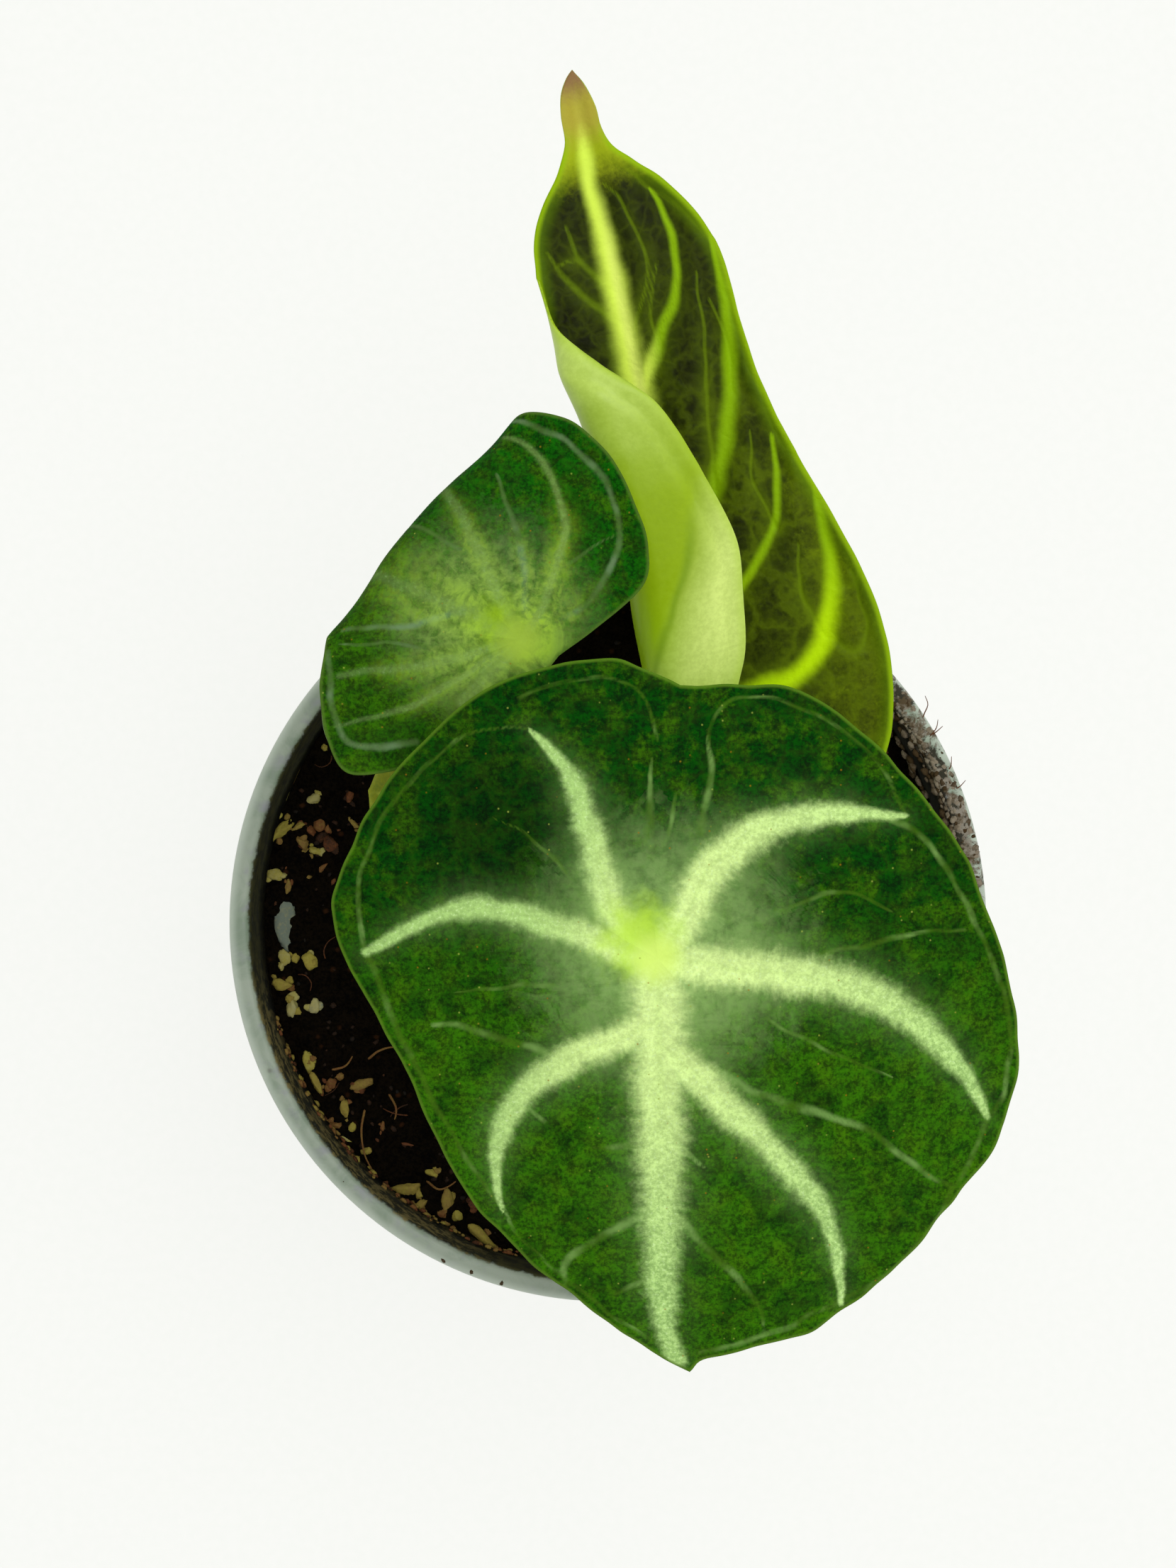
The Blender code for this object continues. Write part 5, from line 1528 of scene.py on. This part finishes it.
# %% Lumps and grit
SEEN_CHIPS = [
    (-31.3, 12.1, 0.8, 1.1, 0, 0.75), (-30.5, 14.1, 0.7, 1.7, -20, 0.50),
    (-27.8, 11.3, 1.0, 1.7, -60, 0.80), (-30.4, 8.7, 1.2, 2.8, -45, 0.62),
    (-30.8, 9.9, 0.6, 0.6, 0, 0.66), (-29.0, 8.9, 0.6, 1.6, -60, 0.50),
    (-27.1, 9.1, 1.4, 1.3, 0, 0.30), (-26.1, 7.3, 1.3, 1.5, 0, 0.18),
    (-30.2, -3.4, 1.3, 1.6, 20, 0.74), (-28.6, 7.3, 1.2, 1.5, 20, 0.42), (-27.4, 6.6, 0.9, 1.7, 85, 0.68),
    (-24.3, 11.5, 0.8, 1.2, -10, 0.24), (-23.9, 9.2, 0.6, 1.5, 40, 0.48),
    (-26.7, 16.3, 0.6, 0.7, 0, 0.60), (-26.8, 5.0, 0.5, 1.1, -40, 0.32),
    (-28.1, 4.1, 0.5, 0.5, 0, 0.45), (-31.3, 4.4, 1.0, 1.7, 70, 0.72),
    (-30.1, 3.2, 0.7, 1.7, -5, 0.45), (-30.5, -0.2, 2.2, 5.9, 6, 1.00),
    (-28.1, -3.5, 1.7, 2.0, 0, 0.64), (-30.6, -5.9, 1.2, 2.0, 80, 0.58),
    (-29.6, -8.1, 1.3, 2.6, 15, 0.82), (-27.5, -7.9, 1.1, 1.3, 0, 0.86),
    (-28.2, -13.0, 1.2, 2.6, 10, 0.66), (-27.4, -15.2, 0.9, 2.2, 30, 0.56),
    (-23.0, -15.4, 1.0, 2.4, -75, 0.46), (-25.9, -15.2, 1.2, 1.4, 0, 0.30),
    (-24.7, -17.9, 0.9, 2.4, 5, 0.54), (-25.5, -19.2, 0.8, 1.4, 80, 0.36),
    (-24.1, -19.4, 0.8, 0.9, 0, 0.60), (-24.6, -20.4, 0.3, 1.1, 60, 0.74),
    (-22.6, -21.6, 1.0, 1.0, 0, 0.55), (-16.5, -23.7, 0.9, 1.2, 60, 0.62),
    (-18.9, -25.2, 1.2, 2.6, -80, 0.54), (-17.5, -26.6, 0.8, 1.8, -45, 0.50),
    (-15.1, -26.2, 1.2, 2.4, 15, 0.50), (-14.2, -27.8, 1.1, 1.1, 0, 0.64),
    (-11.4, -29.9, 1.3, 3.9, 48, 0.58), (-12.6, -26.8, 0.9, 1.2, 70, 0.20),
    (-21.1, -19.3, 0.5, 1.2, 0, 0.30), (-18.7, -21.0, 0.3, 1.2, 80, 0.22),
    (26.0, 16.2, 1.2, 2.0, 30, 0.42), (25.0, 13.3, 0.9, 1.6, -30, 0.66),
    (27.6, 11.8, 1.0, 1.7, 10, 0.40),
]
INNER_WALL = 32.3
WALL_TOP = 60.5
CHIP_COUNT = 130
CHIP_RADIUS = 31.0
THICKEST_CHIP = 1.3


def chipped(directions, seed):
    """How far a broken grain reaches in each direction: a ball cut by random planes."""
    cuts = np.random.default_rng(seed)
    normals = cuts.normal(size=(13, 3))
    normals /= np.linalg.norm(normals, axis=1)[:, None]
    depths = cuts.uniform(0.55, 1.0, 13)
    facing = np.maximum(directions @ normals.T, 0.05)
    return np.minimum((depths / facing).min(axis=1), 1.15)


def add_lump(work, layer, centre, sizes, turn, tone, seed, detail):
    """Add one broken grain to a bmesh, kept inside the wall, and store its tone."""
    made = bmesh.ops.create_icosphere(work, subdivisions=detail, radius=1.0)["verts"]
    cos, sin = math.cos(turn), math.sin(turn)
    reaches = chipped(np.array([tuple(vert.co) for vert in made]), seed)
    for vert, reach in zip(made, reaches):
        knock = reach * (1.0 + 0.22 * solid_noise.noise(vert.co * 2.6 + Vector((seed, 0.0, 0.0))))
        x, y, z = (part * size * knock for part, size in zip(vert.co, sizes))
        place = Vector((centre[0] + x * cos - y * sin, centre[1] + x * sin + y * cos, centre[2] + z))
        out = math.hypot(place.x, place.y)
        if place.z < WALL_TOP and out > INNER_WALL:
            place.x, place.y = place.x * INNER_WALL / out, place.y * INNER_WALL / out
        vert.co = place * MM
        vert[layer] = tone


def lumps_mesh(name, lumps, detail):
    """Mesh of many lumps: each is (centre, sizes, turn, tone)."""
    work = bmesh.new()
    layer = work.verts.layers.float.new("tone")
    for number, (centre, sizes, turn, tone) in enumerate(lumps):
        add_lump(work, layer, centre, sizes, turn, tone, 7 + number, detail)
    return finished_mesh(work, name)


def on_soil(x, y, sink):
    """A centre on the soil, sunk by some millimetres."""
    return (x, y, soil_height(x, y) - sink)


def between_leaves(x, y):
    """True in the dark gap between the side leaf and the new leaf: no fibre goes there."""
    return -7.0 < x < 9.0 and y > 18.0


def seen_from_above(x, y):
    """True where the photograph shows the soil: random chips stay out of there."""
    at_left = x < -8.0 and math.hypot(x, y) > 21.0
    return at_left or between_leaves(x, y)


def random_spot(radius, least):
    """A random direction and the spot that lies there, spread evenly over a disc."""
    turn = dice.uniform(0, 2 * math.pi)
    reach = radius * math.sqrt(dice.uniform(least, 1.0))
    return turn, reach * math.cos(turn), reach * math.sin(turn)


dice = np.random.default_rng(11)
chips = []
for x, y, width, length, turn, tone in SEEN_CHIPS:
    thick = 0.5 * min(width, THICKEST_CHIP)
    angle = math.radians(turn)
    sizes = (width / 2, length / 2, thick * 0.8)
    chips.append((on_soil(x, y, -0.15 * thick), sizes, angle, tone))
    if length > 1.1 and tone < 0.95:
        for k in range(3):
            along, across = dice.uniform(-0.5, 0.5) * length, dice.uniform(-0.6, 0.6) * width
            beside_x = x - along * math.sin(angle) + across * math.cos(angle)
            beside_y = y + along * math.cos(angle) + across * math.sin(angle)
            part = dice.uniform(0.28, 0.5) * min(width, THICKEST_CHIP)
            other = min(max(tone + dice.uniform(-0.28, 0.12), 0.1), 0.9)
            sizes = (part * 0.8, part, part * 0.7)
            chips.append((on_soil(beside_x, beside_y, 0.05), sizes, k + angle, other))
for i in range(CHIP_COUNT):
    turn, x, y = random_spot(CHIP_RADIUS, 0.06)
    if seen_from_above(x, y):
        continue
    width, length = dice.uniform(0.5, 1.4), dice.uniform(0.8, 2.4)
    sizes = (width / 2, length / 2, width / 3)
    chips.append((on_soil(x, y, 0.0), sizes, turn * 7.0, dice.uniform(0.2, 0.8)))
print("chips: %d" % len(chips))

# %% [markdown]
# Finer crumbs go everywhere: dark reddish ones on the soil, and pale dusty ones
# stuck to the wall and to the dirty part of the rim. They are the same lumps, only
# smaller and with fewer faces.

# %% Fine crumbs
CRUMB_COUNT = 620
CRUMB_RADIUS = 31.6
WALL_CRUMBS = 150
WALL_CRUMB_RADIUS = 32.2
RIM_DUST = 420
RIM_DUST_RADIUS = 33.0
EDGE_WIDTH = 0.25
BELOW_EDGE, ON_RIM = 61.6, 61.93
EDGE_DUST = 110
WALL_DUST = 26
SEEN_SPECKS = ((-15.2, -31.1), (-12.6, -32.1), (-27.9, -19.6), (-24.4, -23.8), (-9.8, -33.2))


def on_circle(reach, turn, height):
    """A centre at a distance and in a direction from the pot's axis."""
    return (reach * math.cos(turn), reach * math.sin(turn), height)


crumbs = []
for i in range(CRUMB_COUNT):
    turn, x, y = random_spot(CRUMB_RADIUS, 0.0)
    size = dice.uniform(0.12, 0.34)
    top_tone = 0.10 if seen_from_above(x, y) and i % 5 else 0.30
    tone = dice.uniform(0.0, top_tone)
    crumbs.append((on_soil(x, y, 0.0), (size, size * 1.4, size * 0.8), turn * 5.0, tone))
for i in range(WALL_CRUMBS):
    turn = math.radians(dice.uniform(196.0, 262.0))
    height = dice.uniform(57.4, 60.4)
    size = dice.uniform(0.10, 0.34)
    centre = on_circle(WALL_CRUMB_RADIUS, turn, height)
    crumbs.append((centre, (size * 0.9, size * 1.4, size), turn, dice.uniform(0.12, 0.60)))

dust = []
for i in range(RIM_DUST):
    turn = math.radians(dice.normal(19.0, 13.0))
    reach = RIM_DUST_RADIUS + 1.6 * dice.uniform(0.0, 1.0) ** 1.5
    size = dice.uniform(0.10, 0.38)
    over_edge = reach < RIM_DUST_RADIUS + EDGE_WIDTH
    centre = on_circle(reach, turn, BELOW_EDGE if over_edge else ON_RIM)
    sizes = (size, size * dice.uniform(1.0, 1.5), size * (0.9 if over_edge else 0.32))
    dust.append((centre, sizes, turn * 9.0, dice.uniform(0.0, 1.0)))
for i in range(EDGE_DUST):
    turn = math.radians(dice.uniform(-12.0, 50.0))
    size = dice.uniform(0.22, 0.70)
    reach = dice.uniform(32.35, 32.9)
    centre = on_circle(reach, turn, dice.uniform(60.6, 61.5))
    dust.append((centre, (size * 0.6, size, size * 0.8), turn, dice.uniform(0.0, 0.6)))
for i in range(WALL_DUST):
    turn = math.radians(dice.normal(24.0, 6.0))
    size = dice.uniform(0.30, 0.75)
    reach = dice.uniform(31.7, 32.1)
    centre = on_circle(reach, turn, dice.uniform(58.2, 60.2))
    dust.append((centre, (size * 0.5, size, size * 0.9), turn, dice.uniform(0.1, 0.6)))
for x, y in SEEN_SPECKS:
    dust.append(((x, y, 61.95), (0.22, 0.30, 0.07), x, 0.25))
print("crumbs: %d, dust: %d" % (len(crumbs), len(dust)))


def dust_material():
    """Dry soil dust: brown to mauve-grey."""
    paint, tree, shader = new_material("dry dust", 0.9, 0.1)
    in_mm = in_millimetres(tree)
    grain = use_group(tree, grain_group, {"Place": in_mm, "Fine": 4.0, "Coarse": 1.2})
    mixed = plus(tree, painted(tree, "tone"), calc(tree, "SUBTRACT", grain["Grain"], 0.5))
    color = blend(tree, remap(tree, mixed, 0.15, 0.85), (0.055, 0.034, 0.014), (0.26, 0.215, 0.155))
    rough = remap(tree, grain["Grain"], 0.3, 0.7, 0.8, 0.98)
    finish_look(tree, shader, color, rough, grain["Height"], 0.5, 0.12)
    return paint


def grit_material():
    """Chips from red-brown through mustard to bluish white, by tone."""
    paint, tree, shader = new_material("bark and grit", 0.8, 0.2)
    in_mm = in_millimetres(tree)
    grain = use_group(tree, grain_group, {"Place": in_mm, "Fine": 4.0, "Coarse": 1.4})
    shift = times(tree, calc(tree, "SUBTRACT", grain["Grain"], 0.5), 0.5)
    uneven = plus(tree, painted(tree, "tone"), shift)
    ramp = add_node(tree, "ShaderNodeValToRGB", {"Fac": uneven})
    stops = ramp.color_ramp.elements
    stops[0].position, stops[0].color = 0.0, (0.006, 0.004, 0.002, 1.0)
    stops[1].position, stops[1].color = 1.0, (0.175, 0.21, 0.165, 1.0)
    for position, color in (
            (0.12, (0.035, 0.014, 0.005)), (0.26, (0.15, 0.050, 0.016)),
            (0.45, (0.23, 0.150, 0.035)), (0.66, (0.34, 0.29, 0.045)), (0.84, (0.40, 0.36, 0.14))):
        stop = stops.new(position)
        stop.color = (*color, 1.0)
    rough = remap(tree, grain["Grain"], 0.3, 0.7, 0.65, 0.92)
    finish_look(tree, shader, ramp.outputs["Color"], rough, grain["Height"], 0.5, 0.15)
    return paint


grit = grit_material()
add_piece("soil_chips", lumps_mesh("soil_chips", chips, 3), grit)
add_piece("soil_crumbs", lumps_mesh("soil_crumbs", crumbs, 1), grit)
add_piece("rim_dust", lumps_mesh("rim_dust", dust, 1), dust_material())

# %% [markdown]
# Roots, fibres and stalks are all tubes along a line. One helper makes them: it
# carries a frame along the line without twist and sets a ring of points at every
# step, with a radius of its own.

# %% Tubes
ROOTS = [
    [(-22.4, -12.9, 0.3), (-21.4, -12.1, 1.0), (-20.1, -11.8, 0.8), (-18.6, -12.2, -0.2)],
    [(-22.8, -17.6, -0.2), (-23.1, -19.6, 0.6), (-22.8, -21.8, 0.7), (-22.0, -23.5, -0.1)],
    [(-26.0, -14.0, -0.2), (-24.6, -13.6, 0.5), (-23.8, -12.4, -0.2)],
    [(-17.0, -24.5, -0.1), (-15.9, -25.1, 0.6), (-14.9, -24.9, 0.4), (-13.9, -24.2, -0.2)],
    [(-20.6, -16.2, -0.2), (-19.8, -17.6, 0.5), (-20.2, -19.4, -0.2)],
]
RIM_HAIRS = [
    [(29.0, 18.8, 61.6), (29.2, 19.4, 62.0), (29.5, 20.2, 62.1), (29.3, 21.0, 61.6)],
    [(29.4, 17.0, 61.6), (29.9, 17.5, 62.1), (30.3, 18.1, 62.1), (30.5, 18.8, 61.5)],
    [(29.8, 17.3, 61.6), (30.3, 17.7, 62.1), (30.9, 18.2, 61.8)],
    [(31.3, 14.0, 61.6), (31.6, 14.5, 62.1), (31.7, 15.4, 61.9)],
    [(31.9, 12.4, 61.6), (32.4, 12.6, 62.1), (33.0, 13.2, 61.9)],
]
FIBRE_COUNT = 70
FIBRE_RADIUS = 30.5
FIBRE_LIMIT = 31.5
FIBRE_STEP = 0.9


def add_tube(work, layers, line, radii, sides, tone):
    """Add a closed tube to a bmesh. layers are (along, around, tone)."""
    points = [Vector(point) for point in line]
    side = (points[1] - points[0]).orthogonal().normalized()
    rings = []
    travelled = 0.0
    for i, (point, radius) in enumerate(zip(points, radii)):
        before, after = points[max(i - 1, 0)], points[min(i + 1, len(points) - 1)]
        ahead = (after - before).normalized()
        side = (side - ahead * side.dot(ahead)).normalized()
        other = ahead.cross(side)
        travelled += (point - before).length
        ring = []
        for k in range(sides):
            turn = 2.0 * math.pi * k / sides
            outward = side * math.cos(turn) + other * math.sin(turn)
            vert = work.verts.new((point + outward * radius) * MM)
            vert[layers[0]], vert[layers[1]], vert[layers[2]] = travelled, turn, tone
            ring.append(vert)
        rings.append(ring)
    for first, second in zip(rings, rings[1:]):
        for k in range(sides):
            following = (k + 1) % sides
            work.faces.new((first[k], first[following], second[following], second[k]))
    work.faces.new(list(reversed(rings[0])))
    work.faces.new(rings[-1])


def tubes_mesh(name, tubes):
    """Mesh of many tubes: each is (line, radii, sides, tone)."""
    work = bmesh.new()
    layers = [work.verts.layers.float.new(label) for label in ("along", "around", "tone")]
    for line, radii, sides, tone in tubes:
        add_tube(work, layers, line, radii, sides, tone)
    return finished_mesh(work, name)


fibres = []
for hand in ROOTS:
    raised = [(x, y, soil_height(x, y) + lift) for x, y, lift in hand]
    line = spline(raised, 16)
    fibres.append((line, np.linspace(0.13, 0.06, 17), 6, 0.34))
for hand in RIM_HAIRS:
    line = spline(hand, 10)
    fibres.append((line, np.linspace(0.075, 0.03, 11), 5, 0.25))
for i in range(FIBRE_COUNT):
    x, y = random_spot(FIBRE_RADIUS, 0.05)[1:]
    top_tone = 0.22 if seen_from_above(x, y) else 0.55
    heading, bend = dice.uniform(0, 2 * math.pi), dice.uniform(-0.9, 0.9)
    hand = []
    for step in range(4):
        lift = 0.35 if step in (1, 2) else -0.15
        hand.append((x, y, soil_height(x, y) + lift))
        x, y = x + FIBRE_STEP * math.cos(heading), y + FIBRE_STEP * math.sin(heading)
        heading += bend
        if math.hypot(x, y) > FIBRE_LIMIT:
            break
    if len(hand) > 2:
        tone = dice.uniform(0.1, top_tone)
        if not any(between_leaves(place[0], place[1]) for place in hand):
            fibres.append((spline(hand, 10), np.linspace(0.08, 0.04, 11), 5, tone))
add_piece("root_fibres", tubes_mesh("root_fibres", fibres), grit)
print("fibres: %d" % len(fibres))

# %% [markdown]
# The crown is the short rootstock that all the leaves grow from. Old leaf bases
# have left rings of scars round it. Leaves hide it in the photograph, so its look
# is a guess from such plants. A turned profile is pushed in and out by noise.

# %% Crown
CROWN_CENTRE = (0.0, 9.5)
CROWN_RADIUS = 6.6
CROWN_TOP = 60.0
CROWN_LOW = 48.0


def make_crown_mesh():
    """Lumpy short rootstock with rings of scars."""
    profile = [
        (0.0, CROWN_TOP - 0.35), (2.2, CROWN_TOP - 0.3), (4.1, CROWN_TOP - 0.5),
        (5.6, CROWN_TOP - 1.3), (6.2, CROWN_TOP - 2.4), (6.3, CROWN_TOP - 3.4),
        (6.0, CROWN_TOP - 4.8), (6.1, CROWN_TOP - 6.5), (6.2, CROWN_TOP - 8.0),
        (5.2, CROWN_TOP - 10.4), (3.4, CROWN_LOW + 0.7), (0.0, CROWN_LOW + 0.3),
    ]
    smooth = spline(profile, 60)
    smooth[0, 0] = smooth[-1, 0] = 0.0
    smooth[:, 0] = np.maximum(smooth[:, 0], 0.0)
    mesh = turned_mesh("crown", [(x * MM, z * MM) for x, z in smooth], 96)
    for vert in mesh.vertices:
        place = vert.co / MM
        lump = solid_noise.noise(place * 0.55) * 0.35 + solid_noise.noise(place * 1.7) * 0.16
        ring = 0.10 * math.sin(place.z * 4.6 + 1.6 * solid_noise.noise(place * 0.4))
        reach = math.hypot(place.x, place.y)
        grown = min(reach * (1.0 + (lump + ring - 0.25) / 6.6), CROWN_RADIUS)
        factor = grown / reach if reach > 0.001 else 1.0
        x, y = place.x * factor + CROWN_CENTRE[0], place.y * factor + CROWN_CENTRE[1]
        vert.co = Vector((x, y, min(place.z + 0.3 * lump, CROWN_TOP))) * MM
    return mesh


def rootstock_bark():
    """Brown corky skin, paler on the scars."""
    paint, tree, shader = new_material("rootstock bark", 0.85, 0.15)
    in_mm = in_millimetres(tree)
    grain = use_group(tree, grain_group, {"Place": in_mm, "Fine": 2.5, "Coarse": 0.6})
    flat = vector_math(tree, "MULTIPLY", in_mm, (0.35, 0.35, 2.4))
    rings = noise(tree, flat, 0.9, 3.0, 0.6)
    cork = remap(tree, grain["Grain"], 0.36, 0.64)
    color = blend(tree, cork, (0.045, 0.026, 0.013), (0.13, 0.085, 0.045))
    scars = times(tree, remap(tree, rings, 0.5, 0.62), 0.6)
    color = blend(tree, scars, color, (0.22, 0.17, 0.09))
    rough = remap(tree, grain["Grain"], 0.3, 0.7, 0.72, 0.95)
    finish_look(tree, shader, color, rough, plus(tree, grain["Height"], rings), 0.7, 0.25)
    return paint


add_piece("crown", make_crown_mesh(), rootstock_bark(), node="crown")

# %% [markdown]
# Each leaf stands on a round stalk. It rises straight from the crown and bends
# once. It meets an old blade square on and the new one at a slant, because a young
# blade has not yet tipped over on its stalk. There is a small swelling at the joint
# and a wider sheath at the foot. The line is the same curve as the solid's, so the
# stalk stays where the frame has it. Only its end is carried on, cut parallel to
# the blade and sunk into it, so that no gap shows.

# %% Stalks
STALKS = {
    "front": ((1.4, -3.3), (0.02, -0.12, 1.0), front_shape, 1.7, 0.25, None),
    "side": ((-2.6, 2.7), (-0.10, 0.22, 1.0), side_shape, 1.4, 0.25, None),
    "new": ((2.9, 2.0), (0.12, 0.12, 1.0), new_shape, 1.5, 0.2, (0.25, 0.38, 1.0)),
    "old": ((-3.3, -1.9), (-0.16, -0.06, 1.0), old_shape, 1.1, 0.2, None),
}
SOCKET_DEPTH = 4.0
STALK_COLLAR = 1.5
STALK_BEND = 0.38
STALK_STEPS = 70
BLADE_GAP = 1.6
END_LENGTH = 0.7
SEAT_GAP = BLADE_GAP - END_LENGTH
STALK_SIDES = 28


def blade_up(shape):
    """Upward direction of a blade at its hub."""
    step = 0.5
    centre, right, back = shape(np.array([(0.0, 0.0), (step, 0.0), (0.0, step)]))
    return Vector(np.cross(right - centre, back - centre)).normalized()


def stalk_line(foot, up, top, lean):
    """Points of a stalk from its seat in the crown to just under the blade."""
    start = Vector((CROWN_CENTRE[0] + foot[0], CROWN_CENTRE[1] + foot[1], CROWN_TOP))
    collar = start + up * STALK_COLLAR
    reach = (top - collar).length
    low_bend, high_bend = collar + up * reach * STALK_BEND, top - lean * reach * STALK_BEND
    line = [start - up * (SOCKET_DEPTH - 0.3), start - up * 1.5, start, start + up * 0.75]
    for i in range(STALK_STEPS + 1):
        t = i / STALK_STEPS
        line.append(
            collar * (1 - t) ** 3 + low_bend * 3 * t * (1 - t) ** 2
            + high_bend * 3 * t * t * (1 - t) + top * t ** 3)
    return line + [top + lean * END_LENGTH * 0.5, top + lean * END_LENGTH]


def stalk_radii(line, radius, taper):
    """Radius at every point: sheath at the foot, swelling at the blade."""
    steps = [0.0] + [(b - a).length for a, b in zip(line, line[1:])]
    length = np.cumsum(steps)
    share = length / length[-1]
    from_top = length[-1] - length
    above_crown = np.maximum(length - SOCKET_DEPTH, 0.0)
    sheath = 0.16 * np.exp(-(above_crown / 5.0) ** 2)
    swelling = 0.14 * np.exp(-(from_top / 1.6) ** 2)
    return radius * (1.0 - taper * share + sheath + swelling)


def seat_flush(mesh, top, lean, square, hub):
    """Carry a stalk's end on along its own line, flush with the blade above."""
    for vert in mesh.vertices:
        place = vert.co / MM
        past = (place - top).dot(lean)
        if past > 0.1:
            to_blade = (hub - square * SEAT_GAP - place).dot(square) / lean.dot(square)
            vert.co = (place + lean * to_blade * min(past / END_LENGTH, 1.0)) * MM


def stalk_skin():
    """Pale green skin with long streaks, brownish at the foot."""
    paint, tree, shader = new_material("stalk skin", 0.45, 0.3)
    along, around = painted(tree, "along"), painted(tree, "around")
    wrapped, dotted = [
        add_node(tree, "ShaderNodeCombineXYZ", {
            "X": times(tree, calc(tree, "COSINE", around), width),
            "Y": times(tree, calc(tree, "SINE", around), width),
            "Z": times(tree, along, length)}).outputs[0]
        for width, length in ((1.6, 0.16), (1.5, 0.7))]
    streak = noise(tree, wrapped, 2.4, 4.0, 0.6)
    color = blend(tree, remap(tree, streak, 0.36, 0.64), (0.13, 0.22, 0.04), (0.28, 0.38, 0.10))
    specks = use_group(tree, speck_group, {"Place": dotted, "Cells": 2.6, "Size": 0.22, "Share": 0.4})
    low = remap(tree, along, 6.0, 26.0, 0.75, 0.18)
    color = blend(tree, times(tree, specks["Mask"], low), color, (0.085, 0.055, 0.035))
    foot = remap(tree, along, 3.5, 9.0, 0.85, 0.0)
    color = blend(tree, foot, color, (0.27, 0.20, 0.11))
    rough = remap(tree, streak, 0.3, 0.7, 0.38, 0.55)
    finish_look(tree, shader, color, rough, streak, 0.5, 0.12)
    return paint


skin = stalk_skin()
for leaf, (foot, up, shape, radius, taper, slant) in STALKS.items():
    square = blade_up(shape)
    lean = Vector(slant).normalized() if slant else square
    below = BLADE_GAP + radius * (1.0 - taper) * lean.cross(square).length
    hub = Vector(HUBS[leaf + "_blade"])
    top = hub - square * below
    line = stalk_line(foot, Vector(up).normalized(), top, lean)
    radii = stalk_radii(line, radius, taper)
    mesh = tubes_mesh(leaf + "_leaf_stalk", [(line, radii, STALK_SIDES, 0.5)])
    seat_flush(mesh, top, lean, square, hub)
    add_piece(leaf + "_leaf_stalk", mesh, skin, node=leaf + "_stalk")
    print("%s stalk: %.0f mm" % (leaf, sum((b - a).length for a, b in zip(line, line[1:]))))
